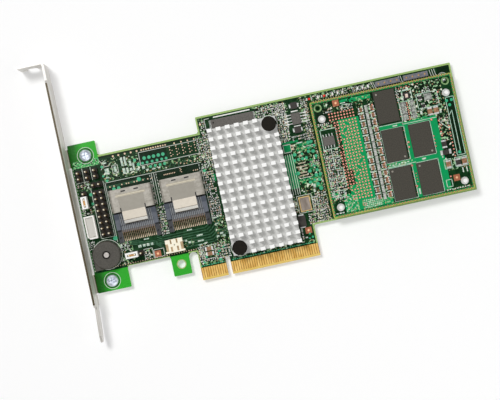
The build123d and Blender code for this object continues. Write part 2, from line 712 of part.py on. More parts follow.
def flash_memory():
    """The flat chip's body and its fine leads."""
    low = TOP + LEAD_STANDOFF
    body = slab(FLASH_X, FLASH_Y, FLASH_LENGTH, FLASH_WIDTH, low, low + FLASH_H)
    side = FLASH_LENGTH / 2
    leads = lead_rows(FLASH_X, FLASH_Y, TOP, 0, side, side + FLASH_LEAD_OUT,
                      LEAD_STANDOFF + FLASH_H / 2, FLASH_LEAD_W, FLASH_LEADS, FLASH_PITCH)
    return body, leads


def small_chip(x, y, level, turn):
    """An eight-lead chip: chamfered body and four leads down each of two sides."""
    low = level + LEAD_STANDOFF
    waist = (SMALL_CHIP_H + LEAD_STANDOFF) / 2
    half = SMALL_CHIP_WIDTH / 2
    edge = half - SMALL_CHIP_LEAN
    section = [(-edge, LEAD_STANDOFF), (-half, waist), (-edge, SMALL_CHIP_H),
               (edge, SMALL_CHIP_H), (half, waist), (edge, LEAD_STANDOFF)]
    body = plate_xz(section, -SMALL_CHIP_LENGTH / 2, SMALL_CHIP_LENGTH / 2)
    leads = lead_rows(x, y, level, turn, half, SMALL_CHIP_SPAN / 2, waist, SMALL_LEAD_W,
                      SMALL_LEADS, SMALL_CHIP_PITCH)
    return Pos(x, y, level) * Rot(0, 0, turn) * body, leads


def port_section(inset, radius, low):
    """The port's outline seen through its mouth, drawn in by inset, with rounded top bends."""
    half = PORT_WIDTH / 2 - inset
    top = SHELL_TOP_Z - inset
    cut = radius * 0.3
    return [(-half, low), (-half, top - radius), (-half + cut, top - cut), (-half + radius, top),
            (half - radius, top), (half - cut, top - cut), (half, top - radius), (half, low)]


def port_shell():
    """The folded metal shell: open mouth, windows, pressed panel, rib, tail flap, feet."""
    half = PORT_WIDTH / 2
    y0, y1 = PORT_BACK_Y, PORT_MOUTH_Y
    shell = plate_xz(port_section(0, SHELL_BEND_R, TOP), y0, y1)
    bore = port_section(SHELL_T, SHELL_BEND_R - SHELL_T, PORT_FLOOR_Z)
    shell -= plate_xz(bore, y0 - 1, y1 + 1)
    shell -= block(-PANEL_HALF, PANEL_HALF, y0, PANEL_TOP_Y, PORT_ROOF_Z, SHELL_TOP_Z)
    shell += block(-PANEL_HALF, PANEL_HALF, y0, PANEL_TOP_Y, PORT_ROOF_Z - PANEL_DEPTH,
                   SHELL_TOP_Z - PANEL_DEPTH)
    flap = TONGUE_FLAP_W / 2
    for side in (-1, 1):
        slot_x = side * (flap + FLAP_SLOT_W / 2)
        shell -= slab(slot_x, y0, FLAP_SLOT_W, 2 * FLAP_SLOT_L, PORT_ROOF_Z - 1, SHELL_TOP_Z + 1)
        shell -= slab(side * LATCH_DX, LATCH_Y, LATCH_W, LATCH_L, PORT_ROOF_Z - 1, SHELL_TOP_Z + 1)
        wall = side * (half - SHELL_T / 2)
        for y in (y0 + WINDOW_INSET, y1 - WINDOW_INSET):
            shell -= slab(wall, y, SHELL_T * 3, WINDOW_L, TOP + WINDOW_LOW,
                          TOP + WINDOW_LOW + WINDOW_H)
    return shell + shell_rib() + shell_flap(flap) + shell_feet(half)


def shell_rib():
    """The raised rib that stiffens the shell's top, between the panel and the mouth."""
    low = SHELL_TOP_Z - SHELL_T / 2
    section = [(RIB_Y - RIB_W / 2, low), (RIB_Y - RIB_W / 2, SHELL_TOP_Z),
               (RIB_Y - RIB_CREST / 2, SHELL_TOP_Z + RIB_H),
               (RIB_Y + RIB_CREST / 2, SHELL_TOP_Z + RIB_H),
               (RIB_Y + RIB_W / 2, SHELL_TOP_Z), (RIB_Y + RIB_W / 2, low)]
    return plate_yz(section, -RIB_LENGTH / 2, RIB_LENGTH / 2)


def shell_flap(half):
    """The tail of the pressed panel, sloping down over the housing to a folded tip."""
    y0 = PORT_BACK_Y
    over, under = SHELL_TOP_Z - PANEL_DEPTH, PORT_ROOF_Z - PANEL_DEPTH
    section = [(y0 + 0.2, over), (y0, over), (FLAP_FOLD_Y, FLAP_FOLD_Z + SHELL_T),
               (FLAP_TIP_Y, FLAP_TIP_Z), (FLAP_TIP_Y + SHELL_T, FLAP_TIP_Z - 0.1),
               (FLAP_FOLD_Y + 0.25, FLAP_FOLD_Z), (y0, under), (y0 + 0.2, under)]
    return plate_yz(section, -half, half)


def shell_feet(half):
    """Three solder feet down each side of the shell."""
    y0, y1 = PORT_BACK_Y, PORT_MOUTH_Y
    feet = []
    for side in (-1, 1):
        reach = sorted((side * (half - SHELL_T / 2), side * (half + SHELL_FOOT_REACH)))
        for y in (y0 + SHELL_FOOT_INSET, (y0 + y1) / 2, y1 - SHELL_FOOT_INSET):
            feet.append(block(*reach, y - SHELL_FOOT_L / 2, y + SHELL_FOOT_L / 2, TOP,
                              TOP + SHELL_T))
    return feet


def housing_slope(drop):
    """The line from the shell's back edge down to the comb, lowered by drop, as (y, z)."""
    high = PORT_ROOF_Z - BACK_DROP
    low = FLAP_TIP_Z - FLAP_GAP
    knee_y, knee_z = SLOPE_KNEE
    return [(PORT_BACK_Y, high - drop), (PORT_BACK_Y - BACK_GAP, high - drop),
            (FLAP_FOLD_Y + knee_y, low + knee_z - drop), (COMB_Y + COMB_DEPTH, low - drop)]


def housing_grooves():
    """A groove along the slope and over the comb for each contact."""
    over = PORT_ROOF_Z
    comb = TOP + COMB_H - GROOVE_DEPTH
    back, front = COMB_Y + COMB_DEPTH, COMB_Y + COMB_TOOTH
    slope = [(PORT_BACK_Y, over), *housing_slope(GROOVE_DEPTH), (back, comb), (front, comb),
             (front, over)]
    half = GROOVE_W / 2
    return [plate_yz(slope, x - half, x + half) for x in PORT_COLUMNS]


def housing_rear():
    """The plastic behind the shell: grooved slope, gap behind the shell, comb, cheeks, legs."""
    outer = PORT_WIDTH / 2
    back, tooth = COMB_Y + COMB_DEPTH, COMB_Y + COMB_TOOTH
    rear = plate_yz([(PORT_BACK_Y, TOP), *housing_slope(0), (back, TOP)], -outer, outer)
    rear += block(-outer, outer, tooth, back, TOP, TOP + COMB_H)
    comb = PORT_CONTACTS * PORT_PITCH / 2
    rear += block(-comb, comb, COMB_Y, tooth, TOP, TOP + COMB_H)
    rear -= block(-outer - 1, outer + 1, PORT_BACK_Y - BACK_GAP, PORT_BACK_Y + 1,
                  TOP + BACK_GAP_FLOOR, SHELL_TOP_Z)
    rear -= housing_grooves()
    rear -= [slab(x, COMB_Y, CONTACT_W, 2 * COMB_SLOT, TOP - 1, TOP + COMB_H + 1)
             for x in PORT_COLUMNS]
    for side in (-1, 1):
        legs = sorted((side * outer, side * (outer - LEG_W)))
        rear += block(*legs, LEG_Y, tooth, TOP, TOP + LEG_H)
        rear += block(*legs, tooth, PORT_BACK_Y - CHEEK_INSET, TOP, TOP + CHEEK_H)
        rear -= rod(side * (outer - LEG_W / 2), LEG_Y + PEG_HOLE_Y, PEG_HOLE_R,
                    TOP + LEG_H - PEG_HOLE_DEPTH, TOP + LEG_H + 1)
    return rear


def port_housing():
    """The plastic inside the shell, with its card slot, and what stands out behind it."""
    inner = PORT_WIDTH / 2 - SHELL_T
    floor = PORT_FLOOR_Z
    core = port_section(SHELL_T, SHELL_BEND_R - SHELL_T, floor)
    body = plate_xz(core, PORT_BACK_Y, PORT_CAVITY_Y)
    body -= block(-PANEL_HALF, PANEL_HALF, PORT_BACK_Y, PORT_CAVITY_Y, PORT_ROOF_Z - PANEL_DEPTH,
                  SHELL_TOP_Z)
    body += block(-inner, inner, PORT_CAVITY_Y, PORT_MOUTH_Y - PORT_LIP_INSET, floor,
                  floor + PORT_FLOOR_T)
    body += housing_rear()
    front = PORT_CAVITY_Y + SLOT_BLOCK_L
    body += block(-SLOT_BLOCK_W / 2, SLOT_BLOCK_W / 2, PORT_CAVITY_Y, front,
                  CARD_SLOT_Z - SLOT_BLOCK_H / 2, CARD_SLOT_Z + SLOT_BLOCK_H / 2)
    body -= block(-CARD_SLOT_W / 2, CARD_SLOT_W / 2, front - CARD_SLOT_DEPTH, front + 1,
                  CARD_SLOT_Z - CARD_SLOT_H / 2, CARD_SLOT_Z + CARD_SLOT_H / 2)
    return body


def port_contacts():
    """Formed contacts: blades in the card slot, and tails that step down to the board."""
    front = PORT_CAVITY_Y + SLOT_BLOCK_L
    high = TOP + COMB_H - TAIL_DROP
    root = COMB_Y + COMB_SLOT - CONTACT_GAP
    knee = COMB_Y - TAIL_KNEE
    foot = CONTACT_TIP_Y + CONTACT_FOOT
    tail = [(root, high), (root, high + CONTACT_T), (knee, high + CONTACT_T),
            (foot + CONTACT_T, TOP + CONTACT_T), (CONTACT_TIP_Y, TOP + CONTACT_T),
            (CONTACT_TIP_Y, TOP), (foot, TOP), (knee, high - CONTACT_T)]
    half = CONTACT_W / 2
    blade = CARD_SLOT_DEPTH - 2 * BLADE_GAP
    contacts = []
    for x in PORT_COLUMNS:
        contacts.append(plate_yz(tail, x - half, x + half))
        if abs(x) + half < CARD_SLOT_W / 2:
            for side in (-1, 1):
                z = CARD_SLOT_Z + side * (CARD_SLOT_H / 2 - CONTACT_T / 2)
                contacts.append(slab(x, front - CARD_SLOT_DEPTH / 2, CONTACT_W, blade,
                                     z - CONTACT_T / 2, z + CONTACT_T / 2))
    return contacts


def module_board():
    """The cache module's board with its standoff holes and two plated holes."""
    x0, x1 = MODULE_X, MODULE_RIGHT
    y0, y1 = MODULE_Y, MODULE_UPPER_Y
    corners = [(x0, y0), (x1, y0), (x1, y1), (x0, y1)]
    board = plate_xy(corners, MODULE_LOW, MODULE_TOP, [(corners, MODULE_CORNER_R)])
    for x, y in STANDOFF_POINTS:
        board -= rod(x, y, STANDOFF_NECK_R + HOLE_CLEARANCE / 2, MODULE_LOW - 1, MODULE_TOP + 1)
    for x, y in PLATED_POINTS:
        board -= rod(x, y, PLATED_R, MODULE_LOW - 1, MODULE_TOP + 1)
    return board


def module_standoff(x, y):
    """A nylon standoff: spacer between the boards and a split snap tip at each end."""
    head = MODULE_TOP
    foot = BOTTOM
    outline = [(0, head + STANDOFF_HEAD_H), (STANDOFF_TIP_R, head + STANDOFF_HEAD_H),
               (STANDOFF_HEAD_R, head + 0.5), (STANDOFF_HEAD_R, head), (STANDOFF_NECK_R, head),
               (STANDOFF_NECK_R, MODULE_LOW), (STANDOFF_R, MODULE_LOW), (STANDOFF_R, TOP),
               (STANDOFF_NECK_R, TOP), (STANDOFF_NECK_R, foot), (STANDOFF_HEAD_R + 0.1, foot),
               (STANDOFF_HEAD_R + 0.1, foot - 0.5), (STANDOFF_TIP_R, REST_Z), (0, REST_Z)]
    post = turned(x, y, outline)
    slot = 2 * STANDOFF_HEAD_R + 1
    return post - slab(x, y, SNAP_SLOT_W, slot, REST_Z - 1, TOP)


def memory_points():
    """Middles of the module's memory chips: two columns, the second one chip short."""
    spots = []
    for column, rows in zip(MEMORY_COLUMNS, (3, 2)):
        for row in range(rows):
            spots.append((MODULE_RIGHT - column, MODULE_Y + MEMORY_FIRST_Y + row * MEMORY_PITCH_Y))
    return spots


def memory_chip(x, y):
    """One memory chip: moulded body on a thin carrier with two strips of solder balls."""
    low = MODULE_TOP
    step = low + BALL_GAP + CARRIER_T
    edge = 2 * CARRIER_EDGE
    carrier = slab(x, y, MEMORY_WIDTH, MEMORY_LENGTH, low + BALL_GAP, step)
    chip = carrier + slab(x, y, MEMORY_WIDTH - edge, MEMORY_LENGTH - edge, step, low + MEMORY_H)
    for side in (-1, 1):
        chip += slab(x + side * MEMORY_WIDTH * 0.27, y, MEMORY_WIDTH * 0.26,
                     MEMORY_LENGTH * 0.8, low, low + BALL_GAP)
    return chip


def mezzanine_socket():
    """The socket half on the main board: an open tray with a key in one wall."""
    x, y = MEZZ_X, MEZZ_Y
    tray = slab(x, y, MEZZ_WIDTH, MEZZ_LENGTH, TOP, TOP + MEZZ_SOCKET_H)
    floor = TOP + MEZZ_SOCKET_H - MEZZ_RECESS
    tray -= slab(x, y, MEZZ_WIDTH - 2 * MEZZ_WALL, MEZZ_LENGTH - 2 * MEZZ_WALL, floor,
                 TOP + MEZZ_SOCKET_H + 1)
    return tray


def mezzanine_plug():
    """The plug half under the module: a flange with a nose that fits the socket."""
    x, y = MEZZ_X, MEZZ_Y
    seat = TOP + MEZZ_SOCKET_H
    shrink = 2 * (MEZZ_WALL + MEZZ_FIT)
    plug = slab(x, y, MEZZ_WIDTH, MEZZ_LENGTH, seat, MODULE_LOW)
    return plug + slab(x, y, MEZZ_WIDTH - shrink, MEZZ_LENGTH - shrink, seat - MEZZ_NOSE_H, seat)


def header_housing(centre, columns, rows):
    """The plastic of a pin header, notched between pins, with a square hole for each pin."""
    x, y = centre
    size_x = (columns - 1) * PIN_PITCH + HEADER_SIDE
    size_y = (rows - 1) * PIN_PITCH + HEADER_SIDE
    body = slab(x, y, size_x, size_y, TOP, TOP + HEADER_H)
    corner = Rot(0, 0, 45) * Box(HEADER_NOTCH * 2, HEADER_NOTCH * 2, HEADER_H + 2)
    xs = [x + (i - columns / 2) * PIN_PITCH for i in range(columns + 1)]
    ys = [y + (i - rows / 2) * PIN_PITCH for i in range(rows + 1)]
    spots = [(x + side * size_x / 2, cut) for cut in ys for side in (-1, 1)]
    if rows == 1:
        spots = [(cut, y + side * size_y / 2) for cut in xs for side in (-1, 1)]
    for cut_x, cut_y in spots:
        body -= Pos(cut_x, cut_y, TOP + HEADER_H / 2) * corner
    for pin_x, pin_y in header_pin_points(centre, columns, rows):
        body -= slab(pin_x, pin_y, PIN_SIDE, PIN_SIDE, TOP - 1, TOP + HEADER_H + 1)
    return body


def square_pin(side, low, high):
    """A square pin with a bevelled upper end."""
    pin = block(-side / 2, side / 2, -side / 2, side / 2, low, high)
    return chamfer(pin.faces().sort_by(Axis.Z)[-1].edges(), PIN_TIP)


def header_pins(headers):
    """The pins of a list of headers."""
    pin = square_pin(PIN_SIDE, BOTTOM - PIN_TAIL, TOP + PIN_TOP_H)
    return [Pos(x, y, 0) * pin for header in headers for x, y in header_pin_points(*header)]


def jumper_shunt(x, y, turn):
    """A jumper shunt, drawn along X: hollow cap with a slot in its top, and its contact."""
    low = TOP + HEADER_H
    high = low + SHUNT_H
    cap = slab(0, 0, SHUNT_LENGTH, SHUNT_WIDTH, low, high)
    cap -= slab(0, 0, SHUNT_LENGTH - 2 * SHUNT_WALL, SHUNT_WIDTH - 2 * SHUNT_WALL, low - 1,
                high - SHUNT_WALL)
    cap -= slab(0, 0, *SHUNT_SLOT, low, high + 1)
    gap = PIN_PITCH - PIN_SIDE
    contact = slab(0, 0, gap, SHUNT_SLOT[1] * 0.8, low + 0.6, high - SHUNT_WALL)
    place = Pos(x, y, 0) * Rot(0, 0, turn)
    return place * cap, place * contact


def battery_socket():
    """The white shrouded socket: a shallow recess in its top and one bevelled corner."""
    x, y = BATTERY_SOCKET
    half_x, half_y = BATTERY_WIDTH / 2, BATTERY_LENGTH / 2
    cut = BATTERY_CHAMFER
    outline = [(x - half_x, y - half_y + cut), (x - half_x + cut, y - half_y),
               (x + half_x, y - half_y), (x + half_x, y + half_y), (x - half_x, y + half_y)]
    body = plate_xy(outline, TOP, TOP + BATTERY_H)
    rim = BATTERY_RIM
    inside = [(x - half_x + rim, y - half_y + cut + rim / 2),
              (x - half_x + cut + rim / 2, y - half_y + rim), (x + half_x - rim, y - half_y + rim),
              (x + half_x - rim, y + half_y - rim), (x - half_x + rim, y + half_y - rim)]
    floor = TOP + BATTERY_H - BATTERY_RECESS
    body -= plate_xy(inside, floor, TOP + BATTERY_H + 1)
    slot_x, slot_y = BATTERY_SLOT_AT
    return body - slab(x + slot_x, y - slot_y, *BATTERY_SLOT, floor - BATTERY_RECESS, floor + 1)


def small_tails(points):
    """Short pin tails that go down through the board from under a socket."""
    tail = slab(0, 0, SMALL_PIN, SMALL_PIN, BOTTOM - PIN_TAIL, TOP)
    return [Pos(x, y, 0) * tail for x, y in points]


def side_entry_socket():
    """The beige socket: open towards the card's lower edge, lip, roof slots and pockets."""
    x, y = SIDE_SOCKET
    half = SIDE_WIDTH / 2
    high = TOP + SIDE_H
    front, back = y - SIDE_DEPTH / 2, y + SIDE_DEPTH / 2
    body = slab(x, y, SIDE_WIDTH, SIDE_DEPTH, TOP, high)
    body += block(x - half - SIDE_LIP, x + half + SIDE_LIP, front, front + SIDE_LIP_L, TOP, high)
    body -= block(x - half + SIDE_WALL, x + half - SIDE_WALL, front - 1, front + SIDE_CAVITY,
                  TOP + SIDE_WALL, high - SIDE_WALL)
    pocket = front + SIDE_POCKET_Y + SIDE_POCKET_L / 2
    for side in (-1, 1):
        spot = x + side * SIDE_SLOT_DX
        body -= slab(spot, back, SIDE_SLOT_W, 2 * SIDE_SLOT_L, high - SIDE_SLOT_DEPTH, high + 1)
        body -= slab(spot, pocket, SIDE_SLOT_W, SIDE_POCKET_L, high - SIDE_POCKET_DEPTH, high + 1)
    body -= rod(x, back - SIDE_VENT_Y, SIDE_VENT_R, high - SIDE_WALL - 1, high + 1)
    for pin_x, pin_y in side_pin_points():
        body -= side_socket_pin(pin_x, pin_y)
    return body


def side_socket_pin(x, y):
    """A bent pin: level in the socket, then down through the board."""
    level = TOP + SIDE_H / 2
    half = SMALL_PIN / 2
    front = SIDE_SOCKET[1] - SIDE_DEPTH / 2 + 1.2
    level_leg = block(x - half, x + half, front, y + half, level - half, level + half)
    return level_leg + block(x - half, x + half, y - half, y + half, BOTTOM - PIN_TAIL, level + half)


def buzzer_case():
    """The round buzzer: squared corner, bevelled rim, sound hole and shallow polarity mark."""
    x, y = BUZZER
    high = TOP + BUZZER_H
    case = rod(x, y, BUZZER_R, TOP, high)
    case += block(x - BUZZER_R, x, y - BUZZER_R, y, TOP, TOP + BUZZER_CORNER_H)
    rim = case.edges().filter_by(GeomType.CIRCLE).sort_by(Axis.Z)[-1]
    case = chamfer(rim, BUZZER_BEVEL)
    mark_x = x - BUZZER_R + 2 * BUZZER_BEVEL + BUZZER_MARK[0] / 2
    case -= slab(mark_x, y, *BUZZER_MARK, high - BUZZER_MARK_DEPTH, high + 1)
    return case - rod(x, y, BUZZER_HOLE_R, high - BUZZER_CAVITY, high + 1)


def oscillator():
    """The clock oscillator's ceramic base and its metal lid."""
    x, y = OSCILLATOR
    size_x, size_y = OSCILLATOR_SIZE
    base = slab(x, y, size_x, size_y, TOP, TOP + OSCILLATOR_H)
    inset = 2 * OSCILLATOR_LID_INSET
    high = TOP + OSCILLATOR_H
    lid = plate_xy([(x - size_x / 2 + inset / 2, y - size_y / 2 + inset / 2),
                    (x + size_x / 2 - inset / 2, y - size_y / 2 + inset / 2),
                    (x + size_x / 2 - inset / 2, y + size_y / 2 - inset / 2),
                    (x - size_x / 2 + inset / 2, y + size_y / 2 - inset / 2)],
                   high, high + OSCILLATOR_LID_H)
    return base, chamfer(lid.faces().sort_by(Axis.Z)[-1].edges(), 0.12)


def chip_part(x, y, level, length, width, height, upright):
    """A two-ended chip part: its body and its two metal ends, along X or, upright, along Y."""
    end = length * END_SHARE
    body = slab(0, 0, length - 2 * end, width, level, level + height)
    place = Pos(x, y, 0) * Rot(0, 0, 90 if upright else 0)
    ends = [slab(side * (length - end) / 2, 0, end, width, level, level + height)
            for side in (-1, 1)]
    return place * body, [place * one for one in ends]


def array_points():
    """Middles of the module's column of resistor arrays."""
    x = MODULE_RIGHT - ARRAY_INSET
    return [(x, MODULE_Y + ARRAY_FIRST_Y + i * ARRAY_PITCH) for i in range(ARRAY_COUNT)]


def module_chip_parts():
    """The brown capacitors and dark beads of both boards, with all their metal ends."""
    capacitors, beads, ends = [], [], []
    right, low = MODULE_RIGHT, MODULE_Y
    for x, y in array_points():
        for side in (-1, 1):
            for row in (-1, 1):
                spot = (x + side * SIDE_CAPS_DX, y + row * CAP_SMALL_PITCH / 2)
                body, tips = chip_part(*spot, MODULE_TOP, *CAP_SMALL, False)
                capacitors.append(body)
                ends += tips
    width, length, height = CAP_LARGE
    for inset, rise in MODULE_CAPS:
        spot = (right - inset, low + rise)
        body, tips = chip_part(*spot, MODULE_TOP, length, width, height, True)
        capacitors.append(body)
        ends += tips
    for inset, rise in MODULE_BEADS:
        spot = (right - inset, low + rise)
        body, tips = chip_part(*spot, MODULE_TOP, length, width, height, True)
        beads.append(body)
        ends += tips
    spot = (right - LEVEL_BEAD[0], low + LEVEL_BEAD[1])
    body, tips = chip_part(*spot, MODULE_TOP, LEVEL_BEAD_LENGTH, width, height, False)
    beads.append(body)
    ends += tips
    for x, y in BOARD_CAPS:
        body, tips = chip_part(x, y, TOP, length, BOARD_CAP_WIDTH, height, False)
        capacitors.append(body)
        ends += tips
    return capacitors, beads, ends


def resistor_array(x, y):
    """A resistor array: a flat body with scalloped sides between its four elements."""
    size_x, size_y, height = ARRAY_SIZE
    body = slab(x, y, size_x, size_y, MODULE_TOP, MODULE_TOP + height)
    for side in (-1, 1):
        for i in (-1, 0, 1):
            body -= slab(x + side * size_x / 2, y + i * size_y / 4, *ARRAY_NOTCH,
                         MODULE_TOP - 1, MODULE_TOP + height + 1)
    return body


def power_diode(x, y):
    """A power diode: its body with a terminal at each end."""
    size_x, size_y, height = DIODE_SIZE
    tab_x, tab_y, tab_h = DIODE_TAB
    body = slab(x, y, size_x, size_y, TOP, TOP + height)
    tabs = [slab(x + side * (size_x + tab_x) / 2, y, tab_x, tab_y, TOP, TOP + tab_h)
            for side in (-1, 1)]
    return body, tabs


def power_coil():
    """The low power inductor, wrapped by a terminal at each end."""
    size_x, size_y, height = COIL_SIZE
    x, y = COIL
    body = slab(x, y, size_x, size_y, TOP, TOP + height)
    tabs = [slab(x, y + side * (size_y + COIL_TAB_T) / 2, size_x * 0.7, COIL_TAB_T, TOP,
                 TOP + height * 0.5) for side in (-1, 1)]
    return body, tabs


def indicator_block(x):
    """A low indicator block with a row of small windows in its top."""
    size_x, size_y, height = INDICATOR_SIZE
    body = slab(x, INDICATOR_Y, size_x, size_y, TOP, TOP + height)
    pitch = size_x / INDICATOR_WINDOWS
    for i in range(INDICATOR_WINDOWS):
        spot = x + (i - (INDICATOR_WINDOWS - 1) / 2) * pitch
        body -= rod(spot, INDICATOR_Y, INDICATOR_WINDOW_R, TOP + height - 0.4, TOP + height + 1)
    return body


def save_boards():
    """Main board, contacts, bracket and screws."""
    save("main_board", main_board())
    save("edge_contacts_front", *edge_contacts(TOP, TOP + PAD_THICK))
    save("edge_contacts_back", *edge_contacts(BOTTOM - PAD_THICK, BOTTOM))
    save("mounting_bracket", mounting_bracket())
    save("bracket_screws", *[bracket_screw(y) for y in SCREW_YS])


def save_heat_sink():
    """Controller, pad, heat sink, push pins and flash memory."""
    save("controller_chip", controller_chip())
    save("controller_solder", *controller_balls())
    save("thermal_pad", slab(SINK_X, SINK_Y, DIE_LID_SIZE, DIE_LID_SIZE, TOP + CHIP_H, SINK_BASE_Z))
    save("heat_sink", heat_sink())
    save("push_pins", *[push_pin(x, y) for x, y in PUSH_POINTS])
    save("push_pin_springs", *[push_pin_spring(x, y) for x, y in PUSH_POINTS])
    flash, flash_leads = flash_memory()
    save("flash_memory_chip", flash)
    save("flash_memory_leads", *flash_leads)


def save_ports():
    """Both internal ports."""
    shell, housing, contacts = port_shell(), port_housing(), port_contacts()
    for name, x in zip(("a", "b"), PORT_XS):
        save(f"port_{name}_shell", Pos(x, 0, 0) * shell)
        save(f"port_{name}_housing", Pos(x, 0, 0) * housing)
        save(f"port_{name}_contacts", *[Pos(x, 0, 0) * one for one in contacts])


def save_module():
    """The cache memory module and what holds and joins it."""
    save("module_board", module_board())
    save("module_standoffs", *[module_standoff(x, y) for x, y in STANDOFF_POINTS])
    save("mezzanine_socket", mezzanine_socket())
    save("mezzanine_plug", mezzanine_plug())
    for number, (x, y) in enumerate(memory_points(), start=1):
        save(f"memory_chip_{number}", memory_chip(x, y))
    save("resistor_arrays", *[resistor_array(x, y) for x, y in array_points()])


def save_headers():
    """Pin headers and their shunts."""
    for name, headers in (("block", block_headers()), ("pair", pair_headers()),
                          ("triple", triple_headers())):
        ending = "s" if len(headers) > 1 else ""
        save(f"{name}_header_housing{ending}", *[header_housing(*one) for one in headers])
        save(f"{name}_header_pins", *header_pins(headers))
    upright = jumper_shunt(TRIPLE_UPRIGHT[0], TRIPLE_UPRIGHT[1] - PIN_PITCH / 2, 90)
    level = jumper_shunt(TRIPLE_LEVEL[0] - PIN_PITCH / 2, TRIPLE_LEVEL[1], 0)
    save("jumper_shunts", upright[0], level[0])
    save("jumper_contacts", upright[1], level[1])


def save_sockets():
    """Battery socket, side-entry socket and buzzer."""
    save("battery_socket", battery_socket())
    save("battery_socket_tails", *small_tails(battery_pin_points()))
    save("side_entry_socket", side_entry_socket())
    save("side_entry_pins", *[side_socket_pin(x, y) for x, y in side_pin_points()])
    save("buzzer_case", buzzer_case())
    high = TOP + BUZZER_H
    core = rod(*BUZZER, BUZZER_CORE_R, high - BUZZER_CAVITY, high - BUZZER_CORE_DROP)
    save("buzzer_core", core)
    save("buzzer_tails", *small_tails(buzzer_pin_points()))


def save_small_parts():
    """Oscillator, eight-lead chips, power parts, lights and chip parts."""
    base, lid = oscillator()
    save("oscillator_base", base)
    save("oscillator_lid", lid)
    board_chip, board_leads = small_chip(*SMALL_CHIP_BOARD, TOP, 0)
    module_chip, module_leads = small_chip(*SMALL_CHIP_MODULE, MODULE_TOP, 90)
    save("eight_lead_chips", board_chip, module_chip)
    save("eight_lead_chip_leads", *board_leads, *module_leads)
    coil, coil_tabs = power_coil()
    save("power_coil", coil)
    bodies, tabs = [], coil_tabs
    for x, y in DIODES:
        body, ends = power_diode(x, y)
        bodies.append(body)
        tabs += ends
    save("power_diodes", *bodies)
    save("power_part_terminals", *tabs)
    size_x, size_y, height = LIGHT_SIZE
    save("status_lights", *[slab(x, y, size_x, size_y, TOP, TOP + height) for x, y in LIGHTS])
    save("indicator_blocks", *[indicator_block(x) for x in INDICATOR_X])
    capacitors, beads, ends = module_chip_parts()
    save("chip_capacitors", *capacitors)
    save("chip_beads", *beads)
    save("chip_part_ends", *ends)


def main():
    """Build every node of the card."""
    os.makedirs("parts", exist_ok=True)
    save_boards()
    save_heat_sink()
    save_ports()
    save_module()
    save_headers()
    save_sockets()
    save_small_parts()


main()
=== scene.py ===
"""Looks of a storage controller card: finishes for its solids, printed and plated detail, light and camera."""

import math
import random

import bpy
from bpy.props import FloatProperty, FloatVectorProperty, PointerProperty
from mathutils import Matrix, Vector


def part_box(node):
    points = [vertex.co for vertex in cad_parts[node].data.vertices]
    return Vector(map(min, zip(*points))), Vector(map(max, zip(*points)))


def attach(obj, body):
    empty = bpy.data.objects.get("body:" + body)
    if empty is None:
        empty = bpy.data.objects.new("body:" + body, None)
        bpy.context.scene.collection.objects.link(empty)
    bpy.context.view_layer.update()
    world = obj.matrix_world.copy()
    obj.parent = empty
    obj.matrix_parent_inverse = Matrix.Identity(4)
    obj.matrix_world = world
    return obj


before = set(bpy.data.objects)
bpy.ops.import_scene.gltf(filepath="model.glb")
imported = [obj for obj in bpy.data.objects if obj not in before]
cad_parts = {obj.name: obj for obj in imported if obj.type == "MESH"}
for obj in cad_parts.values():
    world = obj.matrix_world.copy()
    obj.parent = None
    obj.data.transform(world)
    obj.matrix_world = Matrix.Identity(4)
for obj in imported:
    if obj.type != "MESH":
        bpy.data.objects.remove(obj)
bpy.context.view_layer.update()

bl_info = {
    "name": "Storage Controller Card",
    "version": (1, 0, 0),
    "blender": (4, 5, 0),
    "location": "View3D > Sidebar > Card",
    "description": "Dresses the solids of a server plug-in card with finishes, prints, pads and small parts",
    "category": "Object",
}

MM = 0.001


def paint(red, green, blue):
    """A screen colour from 0 to 255 as the linear colour that a shader takes."""
    return tuple((v / 255 / 12.92) if v <= 10 else ((v / 255 + 0.055) / 1.055) ** 2.4
                 for v in (red, green, blue))


def colour_choice(name, description, default):
    return FloatVectorProperty(name=name, description=description, subtype="COLOR", size=3,
                               min=0.0, max=1.0, default=default)


def length_choice(name, description, default):
    return FloatProperty(name=name, description=description, default=default * MM, min=0.0,
                         unit="LENGTH", subtype="DISTANCE")


class CardColours(bpy.types.PropertyGroup):
    mask: colour_choice("Solder mask", "Green lacquer over copper planes", paint(10, 62, 24))
    mask_deep: colour_choice("Deep mask", "Green lacquer over bare laminate", paint(4, 40, 14))
    tab_green: colour_choice("Tab", "Lacquer without copper on the mounting tabs", paint(50, 172, 46))
    edge_green: colour_choice("Edge strip", "Lacquer without copper along the edges", paint(126, 192, 84))
    pour: colour_choice("Copper pour", "Lacquer over a bright copper area", paint(8, 154, 88))
    trace: colour_choice("Trace", "Lacquer over a copper line", paint(52, 94, 66))
    test_point: colour_choice("Test point", "Lacquered round pads", paint(44, 180, 128))
    board_via: colour_choice("Board via", "Plated holes of the main board", paint(226, 196, 164))
    module_via: colour_choice("Module via", "Plated holes of the memory module", paint(240, 158, 138))
    copper: colour_choice("Copper", "Bare copper of the alignment marks", paint(168, 98, 66))
    print_white: colour_choice("Print", "White component print", paint(214, 220, 210))


class CardSizes(bpy.types.PropertyGroup):
    print_width: length_choice("Print line", "Width of a printed line", 0.24)
    print_height: length_choice("Print height", "How far a print stands above the lacquer", 0.02)
    camera_height: length_choice("Camera height", "From the board up to the camera", 690)
    lens: FloatProperty(name="Lens", description="Focal length in millimetres", default=116.0, min=1.0)


def colours():
    return bpy.context.scene.card_colours


def sizes():
    return bpy.context.scene.card_sizes


# Where things are, in millimetres from the key notch

BOARD_FACE = 0.785
MODULE_FACE = 7.35
FLOOR = -3.3
CAMERA_POINT = (14.6, 29.4)
CARD_TURN = math.radians(12.2)


# Mesh work

def to_object_mode():
    if bpy.context.object and bpy.context.object.mode != "OBJECT":
        bpy.ops.object.mode_set(mode="OBJECT")


def deselect():
    to_object_mode()
    bpy.ops.object.select_all(action="DESELECT")


